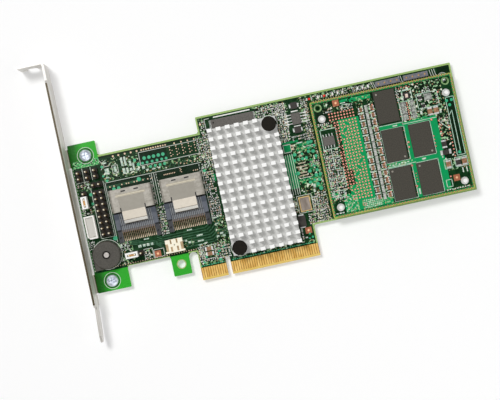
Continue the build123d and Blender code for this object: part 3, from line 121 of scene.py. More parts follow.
def settle():
    """Puts the active object's place, turn and scale into its mesh."""
    bpy.ops.object.transform_apply(location=True, rotation=True, scale=True)


def block(x0, x1, y0, y1, z0, z1, bevel=0.0, segments=1):
    """A block between two corners in millimetres, with its edges broken."""
    deselect()
    bpy.ops.mesh.primitive_cube_add(size=MM, location=((x0 + x1) / 2 * MM, (y0 + y1) / 2 * MM, (z0 + z1) / 2 * MM))
    made = bpy.context.object
    made.scale = (x1 - x0, y1 - y0, z1 - z0)
    settle()
    if bevel:
        bpy.ops.object.mode_set(mode="EDIT")
        bpy.ops.mesh.select_all(action="SELECT")
        bpy.ops.mesh.bevel(offset=bevel * MM, segments=segments, affect="EDGES")
        to_object_mode()
    return made


def disc(x, y, z0, z1, radius, sides=12, bevel=0.0):
    """A round plate standing on z0."""
    deselect()
    bpy.ops.mesh.primitive_cylinder_add(vertices=sides, radius=radius * MM, depth=(z1 - z0) * MM,
                                        location=(x * MM, y * MM, (z0 + z1) / 2 * MM))
    made = bpy.context.object
    settle()
    if bevel:
        bpy.ops.object.mode_set(mode="EDIT")
        bpy.ops.mesh.select_all(action="DESELECT")
        to_object_mode()
        for edge in made.data.edges:
            ends = [made.data.vertices[v].co.z for v in edge.vertices]
            edge.select = min(ends) > (z1 - 0.001) * MM
        bpy.ops.object.mode_set(mode="EDIT")
        bpy.ops.mesh.select_mode(type="EDGE")
        bpy.ops.mesh.bevel(offset=bevel * MM, segments=1, affect="EDGES")
        to_object_mode()
    return made


def ring(x, y, z0, z1, radius, inner, sides=24):
    """A flat ring, made from a disc whose top is inset and both faces bridged."""
    made = disc(x, y, z0, z1, radius, sides)
    bpy.ops.object.mode_set(mode="EDIT")
    bpy.ops.mesh.select_mode(type="FACE")
    bpy.ops.mesh.select_all(action="DESELECT")
    to_object_mode()
    for face in made.data.polygons:
        face.select = abs(face.normal.z) > 0.9
    bpy.ops.object.mode_set(mode="EDIT")
    bpy.ops.mesh.inset(thickness=(radius - inner) * MM)
    bpy.ops.mesh.bridge_edge_loops()
    to_object_mode()
    return made


def copy_of(template, x, y, z=0.0, turn=0.0, stretch=(1, 1, 1)):
    """A copy with its own mesh, moved in millimetres, turned in degrees and stretched about the origin."""
    made = template.copy()
    made.data = template.data.copy()
    bpy.context.collection.objects.link(made)
    made.location = (x * MM, y * MM, z * MM)
    made.rotation_euler = (0, 0, math.radians(turn))
    made.scale = stretch
    return made


def joined(name, parts, material):
    """Joins parts to one piece with one finish, riding on the card."""
    deselect()
    for part in parts:
        part.select_set(True)
    bpy.context.view_layer.objects.active = parts[0]
    if len(parts) > 1:
        bpy.ops.object.join()
    piece = bpy.context.object
    settle()
    piece.name = name
    piece.data.name = name
    piece.data.materials.clear()
    piece.data.materials.append(material)
    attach(piece, "root")
    return piece


def drop(template):
    bpy.data.objects.remove(template, do_unlink=True)


def dots(name, points, z0, z1, radius, material, sides=8):
    """Round plates at each point, as one piece."""
    template = disc(0, 0, 0, z1 - z0, 1.0, sides)
    parts = []
    for point in points:
        size = point[2] if len(point) > 2 else radius
        parts.append(copy_of(template, point[0], point[1], z0, 0, (size, size, 1)))
    drop(template)
    return joined(name, parts, material)


def lines(name, runs, z0, z1, width, material):
    """Printed lines from point to point, as one piece."""
    template = block(-0.5, 0.5, -0.5, 0.5, 0, z1 - z0)
    parts = []
    for run in runs:
        for (x0, y0), (x1, y1) in zip(run, run[1:]):
            length = math.hypot(x1 - x0, y1 - y0) + width
            turn = math.degrees(math.atan2(y1 - y0, x1 - x0))
            parts.append(copy_of(template, (x0 + x1) / 2, (y0 + y1) / 2, z0, turn, (length, width, 1)))
    drop(template)
    return joined(name, parts, material)


def plates(name, places, low, thick, material, bevel=0.0):
    """Flat plates, each given by its middle, width, height and turn, as one piece."""
    template = block(-0.5, 0.5, -0.5, 0.5, 0, thick, bevel)
    parts = [copy_of(template, x, y, low, place[4] if len(place) > 4 else 0, (*place[2:4], 1))
             for place in places for x, y in [place[:2]]]
    drop(template)
    return joined(name, parts, material)


def dashes(x, y0, y1, pitch, length):
    """An upright dashed line, as short runs."""
    count = int((y1 - y0 - length) / pitch) + 1
    return [[(x, y0 + pitch * n), (x, y0 + pitch * n + length)] for n in range(count)]


def frame_run(x0, x1, y0, y1):
    """The closed outline of a rectangle, as a run of points."""
    return [(x0, y0), (x1, y0), (x1, y1), (x0, y1), (x0, y0)]


# Materials

def add_node(tree, kind, settings=None, values=None, links=None):
    node = tree.nodes.new(kind)
    for key, value in (settings or {}).items():
        setattr(node, key, value)
    for key, value in (values or {}).items():
        node.inputs[key].default_value = value
    for key, source in (links or {}).items():
        tree.links.new(source, node.inputs[key])
    return node


def stretched(tree, scale=(1, 1, 1), turn=0.0):
    coords = add_node(tree, "ShaderNodeTexCoord").outputs["Object"]
    return add_node(tree, "ShaderNodeMapping", values={"Scale": scale, "Rotation": (0, 0, turn)},
                    links={"Vector": coords}).outputs["Vector"]


def noise(tree, vector, grain, detail=3.0, rough=0.6):
    return add_node(tree, "ShaderNodeTexNoise", values={"Scale": grain, "Detail": detail, "Roughness": rough},
                    links={"Vector": vector}).outputs["Fac"]


def spread(tree, source, low, high, to_low, to_high):
    return add_node(tree, "ShaderNodeMapRange",
                    values={"From Min": low, "From Max": high, "To Min": to_low, "To Max": to_high},
                    links={"Value": source}).outputs["Result"]


def mixed(tree, factor, first, second):
    node = add_node(tree, "ShaderNodeMix", {"data_type": "RGBA"}, links={"Factor": factor})
    for socket, value in ((node.inputs[6], first), (node.inputs[7], second)):
        if isinstance(value, (tuple, list)) or hasattr(value, "r"):
            socket.default_value = (*tuple(value)[:3], 1.0)
        else:
            tree.links.new(value, socket)
    return node.outputs[2]


def part_of(tree, axis):
    """One coordinate, in metres, of the point that is shaded."""
    coords = add_node(tree, "ShaderNodeTexCoord").outputs["Object"]
    return add_node(tree, "ShaderNodeSeparateXYZ", links={"Vector": coords}).outputs[axis]


def facing(tree, axis):
    """How far a face looks along one axis, from -1 to 1."""
    normal = add_node(tree, "ShaderNodeNewGeometry").outputs["Normal"]
    return add_node(tree, "ShaderNodeSeparateXYZ", links={"Vector": normal}).outputs[axis]


def step(tree, source, level, soft=0.0):
    return spread(tree, source, level - soft, level + soft + 1e-6, 0.0, 1.0)


def finish(name, dark, light, grain=900, stretch=(1, 1, 1), rough=(0.4, 0.55), metal=0.0,
           bump=0.15, depth=0.02, detail=3.0, coat=0.0, specular=0.5, extra=None):
    """A finish whose colour, gloss and surface vary with one pattern in the piece's own coordinates."""
    material = bpy.data.materials.new(name)
    material.use_nodes = True
    tree = material.node_tree
    shader = tree.nodes["Principled BSDF"]
    shader.inputs["Metallic"].default_value = metal
    shader.inputs["Specular IOR Level"].default_value = specular
    shader.inputs["Coat Weight"].default_value = coat
    shader.inputs["Coat Roughness"].default_value = 0.2
    pattern = noise(tree, stretched(tree, stretch), grain, detail)
    colour = mixed(tree, spread(tree, pattern, 0.35, 0.65, 0.0, 1.0), dark, light)
    if extra:
        colour = extra(tree, colour)
    tree.links.new(colour, shader.inputs["Base Color"])
    tree.links.new(spread(tree, pattern, 0.3, 0.7, *rough), shader.inputs["Roughness"])
    if bump:
        relief = add_node(tree, "ShaderNodeBump", values={"Strength": bump, "Distance": depth * MM},
                          links={"Height": pattern})
        tree.links.new(relief.outputs["Normal"], shader.inputs["Normal"])
    return material


def in_zones(tree, boxes):
    """One inside any of the boxes and zero outside."""
    coords = add_node(tree, "ShaderNodeTexCoord").outputs["Object"]
    axes = add_node(tree, "ShaderNodeSeparateXYZ", links={"Vector": coords}).outputs
    total = None
    for x0, x1, y0, y1 in boxes:
        both = None
        for axis, low, high in (("X", x0, x1), ("Y", y0, y1)):
            near = add_node(tree, "ShaderNodeMath", {"operation": "COMPARE"},
                            {1: (low + high) / 2 * MM, 2: (high - low) / 2 * MM}, {0: axes[axis]})
            both = near if both is None else add_node(
                tree, "ShaderNodeMath", {"operation": "MULTIPLY"},
                links={0: both.outputs["Value"], 1: near.outputs["Value"]})
        total = both if total is None else add_node(
            tree, "ShaderNodeMath", {"operation": "MAXIMUM"},
            links={0: total.outputs["Value"], 1: both.outputs["Value"]})
    return total.outputs["Value"]


def both_of(tree, first, second):
    return add_node(tree, "ShaderNodeMath", {"operation": "MULTIPLY"}, links={0: first, 1: second}).outputs["Value"]


def flecked(tree, colour, boxes, ink, grain, level):
    """Small sharp flecks of pads and print scattered over the boxes."""
    flecks = step(tree, noise(tree, stretched(tree, (1, 1, 0.01)), grain, 1.0), level, 0.015)
    return mixed(tree, both_of(tree, flecks, in_zones(tree, boxes)), colour, ink)


def bands(tree, middle, pitch, share):
    """One on evenly spaced bands across x, each as wide as its share of the pitch."""
    moved = add_node(tree, "ShaderNodeMath", {"operation": "MULTIPLY_ADD"},
                     {1: 1 / (pitch * MM), 2: 1000 + share / 2 - middle / pitch}, {0: part_of(tree, "X")})
    place = add_node(tree, "ShaderNodeMath", {"operation": "FRACT"}, links={0: moved.outputs["Value"]})
    return add_node(tree, "ShaderNodeMath", {"operation": "LESS_THAN"}, {1: share},
                    {0: place.outputs["Value"]}).outputs["Value"]


def weave_tint(tree, first, second, grain=900):
    """A colour that wanders a little between two tones."""
    return mixed(tree, noise(tree, stretched(tree), grain), first, second)


def shade(colour, factor):
    return tuple(min(1.0, c * factor) for c in tuple(colour)[:3])


def dress(material, *names):
    for name in names:
        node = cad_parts[name]
        for slot in node.material_slots:
            slot.material = material
        if not node.material_slots:
            raise RuntimeError(f"{name} has no material slot")


def laminate_edges(tree, colour):
    """Pale yellow-green glass laminate on the cut edges of a board."""
    side = spread(tree, facing(tree, "Z"), 0.3, 0.6, 1.0, 0.0)
    back = spread(tree, facing(tree, "Z"), -0.6, -0.3, 1.0, 0.0)
    edge = add_node(tree, "ShaderNodeMath", {"operation": "SUBTRACT"}, links={0: side, 1: back})
    return mixed(tree, edge.outputs["Value"], colour, paint(150, 188, 96))


def fin_top_painted_highlight(tree, colour):
    """Painted highlight: fin tops above a set height are coloured near white, brighter than the blasted base between
    them.
    """
    return mixed(tree, step(tree, part_of(tree, "Z"), 11.3 * MM, 0.15 * MM), colour, paint(252, 252, 250))


# A port's shell and wires, as boxes with x from the port's middle and y on the card

PORT_MIDDLES = (-34.35, -12.5)
# Shell boxes for painted light and shade: darker panel, highlighted rib, lighter flap and lip, shaded fold, painted
# shadow below the lip
PANEL_PAINTED_SHADE = [(-5.5, 5.5, 36.1, 42.2)]
RIB_PAINTED_HIGHLIGHT = [(-6.3, 6.3, 42.35, 43.4)]
FLAP_PAINTED_LIGHT = [(-5.05, 5.05, 32.3, 36.0)]
FLAP_LIP_PAINTED_HIGHLIGHT = [(-5.05, 5.05, 30.9, 32.1)]
FLAP_FOLD_PAINTED_SHADE = [(-5.05, 5.05, 32.1, 32.35)]
FLAP_SHADE = [(-5.05, 5.05, 30.0, 30.9)]
WIRE_FEET = [(-9.0, 9.0, 22.0, 24.1)]
# Painted shade on the copper where the wires leave the comb
WIRE_BEND_SHADE = [(-9.0, 9.0, 26.7, 28.4)]
CHEEKS = [(-9.1, -6.9, 28.5, 35.4), (6.9, 9.1, 28.5, 35.4)]
LEGS = [(-9.1, -7.3, 22.5, 28.5), (7.3, 9.1, 22.5, 28.5)]
SLOPE = [(-7.2, 7.2, 23.0, 35.4)]
# Painted shade: the resin under the shell is coloured near black
UNDER_SHELL_PAINTED_SHADE = [(-9.1, -4.9, 35.3, 45.6), (4.9, 9.1, 35.3, 45.6), (-4.9, 4.9, 36.0, 45.6)]


def at_ports(boxes):
    return [(middle + x0, middle + x1, y0, y1) for middle in PORT_MIDDLES for x0, x1, y0, y1 in boxes]


def shell_painted_light(tree, colour):
    """Painted light and shade on the shell: a darker pressed panel, a painted highlight on the rib, a lighter flap, a
    painted highlight on its lip, painted shade at its fold and a painted shadow below the lip.
    """
    for boxes, dark, light in ((PANEL_PAINTED_SHADE, paint(142, 137, 126), paint(158, 153, 142)),
                               (RIB_PAINTED_HIGHLIGHT, paint(192, 184, 164), paint(216, 208, 188)),
                               (FLAP_PAINTED_LIGHT, paint(214, 204, 188), paint(232, 223, 208)),
                               (FLAP_LIP_PAINTED_HIGHLIGHT, paint(250, 246, 238), paint(255, 252, 246)),
                               (FLAP_FOLD_PAINTED_SHADE, paint(128, 118, 104), paint(160, 150, 134)),
                               (FLAP_SHADE, paint(52, 48, 42), paint(84, 78, 70))):
        colour = mixed(tree, in_zones(tree, at_ports(boxes)), colour, weave_tint(tree, dark, light, 600))
    return colour


def wire_zones(tree, colour):
    """Gold feet, and painted shade on the copper where the wires leave the comb."""
    feet = weave_tint(tree, paint(190, 160, 130), paint(234, 216, 192), 900)
    colour = mixed(tree, in_zones(tree, at_ports(WIRE_FEET)), colour, feet)
    bend_shade = weave_tint(tree, paint(92, 72, 56), paint(158, 128, 102), 900)
    return mixed(tree, in_zones(tree, at_ports(WIRE_BEND_SHADE)), colour, bend_shade)


def pin_top_painted_highlight(tree, colour):
    """Painted highlight: faces of the gold pins that look up are coloured pale."""
    return mixed(tree, step(tree, facing(tree, "Z"), 0.6, 0.1), colour, paint(242, 232, 208))


def port_resin(name, middle):
    """Blue-grey resin, striped where the comb and the grooves run, with painted shade, near black, under the shell.
    """
    def extra(tree, colour):
        ribs = both_of(tree, bands(tree, middle, 0.8, 0.45), in_zones(tree, at_ports(SLOPE)))
        colour = mixed(tree, ribs, colour, weave_tint(tree, paint(44, 46, 50), paint(70, 72, 78), 900))
        cheek = weave_tint(tree, paint(66, 72, 82), paint(94, 100, 112), 500)
        colour = mixed(tree, in_zones(tree, at_ports(CHEEKS)), colour, cheek)
        leg = weave_tint(tree, paint(24, 25, 28), paint(54, 56, 62), 700)
        colour = mixed(tree, in_zones(tree, at_ports(LEGS)), colour, leg)
        return mixed(tree, in_zones(tree, at_ports(UNDER_SHELL_PAINTED_SHADE)), colour, paint(3, 3, 4))
    return finish(name, paint(120, 124, 128), paint(156, 160, 164), 1500, (3, 0.5, 1), (0.4, 0.55),
                  bump=0.1, extra=extra)


def recess(boxes, dark, light):
    """A colour for part of a piece, as an extra step of its finish."""
    def step_in(tree, colour):
        return mixed(tree, in_zones(tree, boxes), colour, weave_tint(tree, dark, light, 700))
    return step_in


def bracket_edge_painted_reflection(tree, colour):
    """Painted dark reflection: faces of the bracket that look up, from y -1 to 96.6 mm, are coloured dark
    olive-brown.
    """
    edge = step(tree, facing(tree, "Z"), 0.8, 0.05)
    below = spread(tree, part_of(tree, "Y"), 96.5 * MM, 96.7 * MM, 1.0, 0.0)
    above = spread(tree, part_of(tree, "Y"), -1.1 * MM, -0.9 * MM, 0.0, 1.0)
    middle = add_node(tree, "ShaderNodeMath", {"operation": "MULTIPLY"}, links={0: below, 1: above})
    both = add_node(tree, "ShaderNodeMath", {"operation": "MULTIPLY"},
                    links={0: edge, 1: middle.outputs["Value"]})
    return mixed(tree, both.outputs["Value"], colour, paint(70, 58, 30))


# Zones of a board's lacquer, as lowest and highest x and y in millimetres

TAB_ZONES = [(-57.2, -45.1, 61.0, 68.6), (-57.2, -56.5, 12.5, 61.0), (-57.2, -42.6, 3.9, 12.5), (-23.9, -15.9, 4.0, 12.8)]
EDGE_ZONES = [
    (-45.1, -1.1, 61.2, 62.1), (-1.2, -0.4, 61.2, 69.0), (-0.4, 110.6, 68.1, 69.0), 
    (-42.6, -23.9, 12.8, 13.2), (-15.9, -12.0, 12.6, 13.2), (109.8, 110.6, 13.3, 68.1),
    (39.2, 110.6, 13.2, 14.0), (38.5, 39.2, 5.4, 14.0), (-12.2, -11.6, 5.4, 13.0),
]
MOTTLED_ZONES = [(-57.2, -45.1, 58.0, 61.0)]
FINGER_ZONES = [(-12.3, -0.9, -0.1, 5.35), (0.9, 39.3, -0.1, 5.35)]
FINGER_TIPS = [(-12.3, -0.9, -0.1, 0.95), (0.9, 39.3, -0.1, 0.95)]
BOARD_FLECKS = [
    (-36.4, -28.4, 50.4, 59.4), (-44.8, -37.4, 50.2, 59.4), (-27.6, -15.6, 50.2, 53.2), (-15.4, -2.4, 50.2, 53.2),
    (-2.6, 2.5, 43.6, 61.0), (0.0, 2.6, 61.0, 67.8), (-2.6, 2.5, 13.0, 26.0), (37.0, 47.4, 28.0, 48.8),
    (33.0, 37.4, 50.8, 67.8), (43.4, 47.4, 49.6, 67.8), (23.2, 38.4, 62.8, 67.9), (38.0, 47.4, 13.8, 28.0),
    (-56.4, -51.0, 37.6, 41.0), (-44.6, -38.6, 13.6, 23.4), (-11.4, -1.0, 5.9, 15.2), (2.0, 38.4, 5.8, 7.5),
    (33.0, 34.2, 19.2, 27.0), (49.0, 76.4, 65.0, 67.9), (-56.2, -50.6, 47.8, 51.6), (-25.6, -21.8, 22.8, 36.0),
    (-17.2, -12.4, 15.6, 19.0), (-34.4, -30.6, 13.8, 18.4), (-56.6, -53.4, 13.2, 15.0),
]
DEEP_ZONES = [
    (-45.0, -1.2, 60.3, 61.2), (-45.0, -2.8, 45.4, 49.4), (-27.8, -16.0, 53.7, 59.2), (36.6, 42.4, 33.8, 40.4),
    (104.3, 109.6, 65.2, 68.0), (38.4, 41.2, 26.9, 29.2), (44.6, 47.2, 24.6, 27.4), (-57.0, -50.6, 49.0, 52.0),
]
BOARD_POURS = [
    (33.0, 40.0, 49.4, 50.3), (33.2, 36.3, 46.0, 49.0), (38.6, 45.2, 45.4, 48.8), (36.6, 46.6, 31.6, 33.5),
    (32.6, 36.7, 30.0, 44.6), (42.2, 46.6, 28.8, 31.6), (42.4, 46.6, 36.8, 41.2), (0.9, 2.4, 40.6, 43.6), (-2.6, -0.8, 45.2, 46.2),
]
MODULE_EDGE = [(47.8, 109.0, 14.1, 15.1), (47.8, 109.0, 63.3, 64.4), (47.8, 48.8, 14.1, 64.4),
               (108.2, 109.0, 14.1, 64.4)]
MODULE_RIM = [(47.8, 109.0, 14.1, 14.6), (47.8, 109.0, 63.9, 64.4), (47.8, 48.3, 14.1, 64.4),
              (108.6, 109.0, 14.1, 64.4)]
MODULE_DEEP = [(56.2, 60.2, 33.2, 43.4), (49.2, 56.4, 53.0, 60.6), (74.0, 74.7, 15.2, 63.0),
               (99.3, 104.2, 28.8, 47.6), (104.9, 108.0, 29.6, 54.0), (84.9, 104.0, 56.0, 63.2)]
MODULE_FLECKS = [
    (49.0, 56.4, 20.4, 43.4), (49.0, 56.6, 51.6, 54.6), (52.6, 66.4, 58.6, 60.9), (61.0, 74.4, 15.2, 19.4),
    (84.9, 104.0, 47.8, 63.1), (99.2, 104.3, 36.4, 48.6), (66.9, 69.6, 19.2, 60.4), (71.6, 74.6, 19.2, 60.4),
    (53.8, 59.4, 15.3, 21.4), (74.8, 86.4, 30.2, 31.9), (97.0, 108.0, 15.4, 16.2), (98.4, 108.2, 23.8, 28.6),
    (53.6, 56.4, 60.8, 63.0), (66.4, 73.8, 59.6, 62.4),
]
MODULE_DARK_FLECKS = [(49.0, 56.4, 20.4, 43.4), (84.9, 104.0, 47.8, 63.1), (52.6, 66.4, 58.6, 63.0),
                      (66.9, 69.6, 19.2, 60.4), (71.6, 74.6, 19.2, 60.4), (99.2, 104.3, 28.0, 48.6)]
MODULE_POURS = [
    (58.0, 67.0, 33.0, 54.6), (60.0, 67.0, 26.0, 36.5), (57.2, 67.0, 15.4, 26.4), (67.0, 74.0, 15.4, 18.4),
    (84.7, 87.0, 15.4, 47.2), (96.2, 99.2, 16.0, 47.6), (74.6, 99.2, 46.4, 48.0), (74.6, 96.2, 30.0, 31.9),
    (88.0, 99.2, 46.0, 48.6), (60.4, 73.6, 61.0, 62.8), (49.0, 52.0, 22.2, 25.4), (53.6, 57.4, 15.4, 23.0),
]


class CARD_OT_board_finish(bpy.types.Operator):
    """Green lacquered boards, bright where the copper stops, with pale cut edges"""
    bl_idname = "card.board_finish"
    bl_label = "Board lacquer"

    def execute(self, context):
        c = colours()

        def main_zones(tree, colour):
            deep = weave_tint(tree, shade(c.mask_deep, 0.6), c.mask_deep, 500)
            colour = mixed(tree, in_zones(tree, DEEP_ZONES), colour, deep)
            pour = weave_tint(tree, shade(c.pour, 0.5), c.pour, 500)
            colour = mixed(tree, in_zones(tree, BOARD_POURS), colour, pour)
            colour = flecked(tree, colour, BOARD_FLECKS, paint(140, 182, 130), 940, 0.575)
            colour = flecked(tree, colour, BOARD_FLECKS, paint(196, 156, 112), 1330, 0.67)
            colour = flecked(tree, colour, BOARD_FLECKS, paint(4, 22, 6), 760, 0.575)
            colour = flecked(tree, colour, BOARD_FLECKS, paint(224, 232, 208), 610, 0.655)
            colour = flecked(tree, colour, MOTTLED_ZONES, paint(70, 176, 96), 900, 0.47)
            colour = flecked(tree, colour, MOTTLED_ZONES, paint(168, 214, 160), 1300, 0.57)
            gaps = weave_tint(tree, paint(150, 106, 44), paint(184, 136, 64), 900)
            colour = mixed(tree, in_zones(tree, FINGER_ZONES), colour, gaps)
            tips = weave_tint(tree, paint(214, 178, 84), paint(240, 212, 118), 700)
            colour = mixed(tree, in_zones(tree, FINGER_TIPS), colour, tips)
            # Painted shadow of the bracket on the tabs: darkest left of x -54.6 mm, fading out by x -50.4 mm
            tab_in_bracket_shadow = weave_tint(tree, shade(c.tab_green, 0.16), shade(c.tab_green, 0.5), 160)
            light_tab = weave_tint(tree, shade(c.tab_green, 0.86), shade(c.tab_green, 1.14), 120)
            bracket_shadow_fade = spread(tree, part_of(tree, "X"), -54.6 * MM, -50.4 * MM, 0.0, 1.0)
            tab = mixed(tree, bracket_shadow_fade, tab_in_bracket_shadow, light_tab)
            colour = mixed(tree, in_zones(tree, TAB_ZONES), colour, tab)
            strip = weave_tint(tree, shade(c.edge_green, 0.7), paint(196, 212, 146), 1300)
            colour = mixed(tree, in_zones(tree, EDGE_ZONES), colour, strip)
            return laminate_edges(tree, colour)

        def module_zones(tree, colour):
            deep = weave_tint(tree, shade(c.mask_deep, 0.6), c.mask_deep, 500)
            colour = mixed(tree, in_zones(tree, MODULE_DEEP), colour, deep)
            pour = weave_tint(tree, shade(c.pour, 0.86), shade(c.pour, 1.1), 400)
            colour = mixed(tree, in_zones(tree, MODULE_POURS), colour, pour)
            colour = flecked(tree, colour, MODULE_FLECKS, paint(150, 196, 146), 940, 0.58)
            colour = flecked(tree, colour, MODULE_FLECKS, paint(210, 160, 124), 1330, 0.66)
            colour = flecked(tree, colour, MODULE_DARK_FLECKS, paint(4, 26, 8), 760, 0.565)
            colour = flecked(tree, colour, MODULE_DARK_FLECKS, paint(226, 234, 214), 610, 0.655)
            edge = weave_tint(tree, paint(24, 118, 56), paint(70, 172, 96), 500)
            colour = mixed(tree, in_zones(tree, MODULE_EDGE), colour, edge)
            rim = weave_tint(tree, paint(120, 160, 60), paint(220, 196, 112), 1300)
            colour = mixed(tree, in_zones(tree, MODULE_RIM), colour, rim)
            return laminate_edges(tree, colour)

        for node, zones in (("main_board", main_zones), ("module_board", module_zones)):
            lacquered = finish(node + "_lacquer", c.mask_deep, c.mask, grain=520, rough=(0.22, 0.34),
                               bump=0.08, depth=0.02, specular=0.16, extra=zones)
            dress(lacquered, node)
        return {"FINISHED"}


class CARD_OT_metal_finish(bpy.types.Operator):
    """Plated steel, aluminium, gold and solder of the metal pieces"""
    bl_idname = "card.metal_finish"
    bl_label = "Metal finishes"

    def execute(self, context):
        sheet = finish("nickel_plated_sheet", paint(190, 186, 179), paint(234, 231, 225), 420,
                       (1, 0.05, 1), (0.32, 0.48), metal=0.3, bump=0.08, extra=bracket_edge_painted_reflection)
        dress(sheet, "mounting_bracket")
        screw = finish("zinc_plated_screw", paint(168, 178, 194), paint(232, 238, 247), 700, (1, 1, 1),
                       (0.3, 0.44), metal=0.5, bump=0.1)
        dress(screw, "bracket_screws")
        sink = finish("blasted_aluminium", paint(196, 196, 194), paint(212, 212, 209), 1500, (1, 1, 1),
                      (0.5, 0.62), metal=0.05, bump=0.25, depth=0.02, extra=fin_top_painted_highlight)
        dress(sink, "heat_sink")
        gold = finish("contact_gold", paint(222, 172, 80), paint(246, 208, 122), 700, (1, 0.3, 1),
                      (0.26, 0.4), metal=0.25, bump=0.05)
        dress(gold, "edge_contacts_front", "edge_contacts_back")
        pins = finish("plated_pins", paint(176, 142, 84), paint(206, 172, 110), 900, (1, 1, 1),
                      (0.25, 0.4), metal=0.3, bump=0.05, extra=pin_top_painted_highlight)
        dress(pins, "block_header_pins", "pair_header_pins", "triple_header_pins")
        clip = finish("jumper_clip", paint(168, 120, 56), paint(206, 160, 92), 900, (1, 1, 1),
                      (0.3, 0.45), metal=0.2, bump=0.05)
        dress(clip, "jumper_contacts")
        wire = finish("port_wire", paint(134, 104, 84), paint(196, 176, 152), 800, (1, 1, 1),
                      (0.3, 0.45), metal=0.4, bump=0.05, extra=wire_zones)
        dress(wire, "port_a_contacts", "port_b_contacts")
        solder = finish("tinned_metal", paint(186, 188, 186), paint(232, 233, 230), 1300, (1, 1, 1),
                        (0.26, 0.44), metal=0.45, bump=0.3, depth=0.03)
        dress(solder, "controller_solder", "flash_memory_leads", "battery_socket_tails", "side_entry_pins",
              "buzzer_tails", "eight_lead_chip_leads", "power_part_terminals", "chip_part_ends")
        spring = finish("spring_steel", paint(126, 126, 128), paint(170, 170, 172), 900, (1, 1, 1),
                        (0.25, 0.4), metal=0.8, bump=0.05)
        dress(spring, "push_pin_springs")
        shell = finish("satin_port_metal", paint(150, 145, 134), paint(178, 173, 163), 900,
                       (0.6, 1, 1), (0.34, 0.46), metal=0.2, bump=0.06, extra=shell_painted_light)
        dress(shell, "port_a_shell", "port_b_shell")
        lid = finish("oscillator_lid_metal", paint(122, 110, 100), paint(160, 148, 138), 700, (1, 0.2, 1),
                     (0.3, 0.45), metal=0.2, bump=0.1)
        dress(lid, "oscillator_lid")
        rim = finish("gilded_ceramic", paint(196, 162, 104), paint(222, 192, 136), 700, (1, 1, 1),
                     (0.3, 0.45), metal=0.35, bump=0.08)
        dress(rim, "oscillator_base")
        return {"FINISHED"}


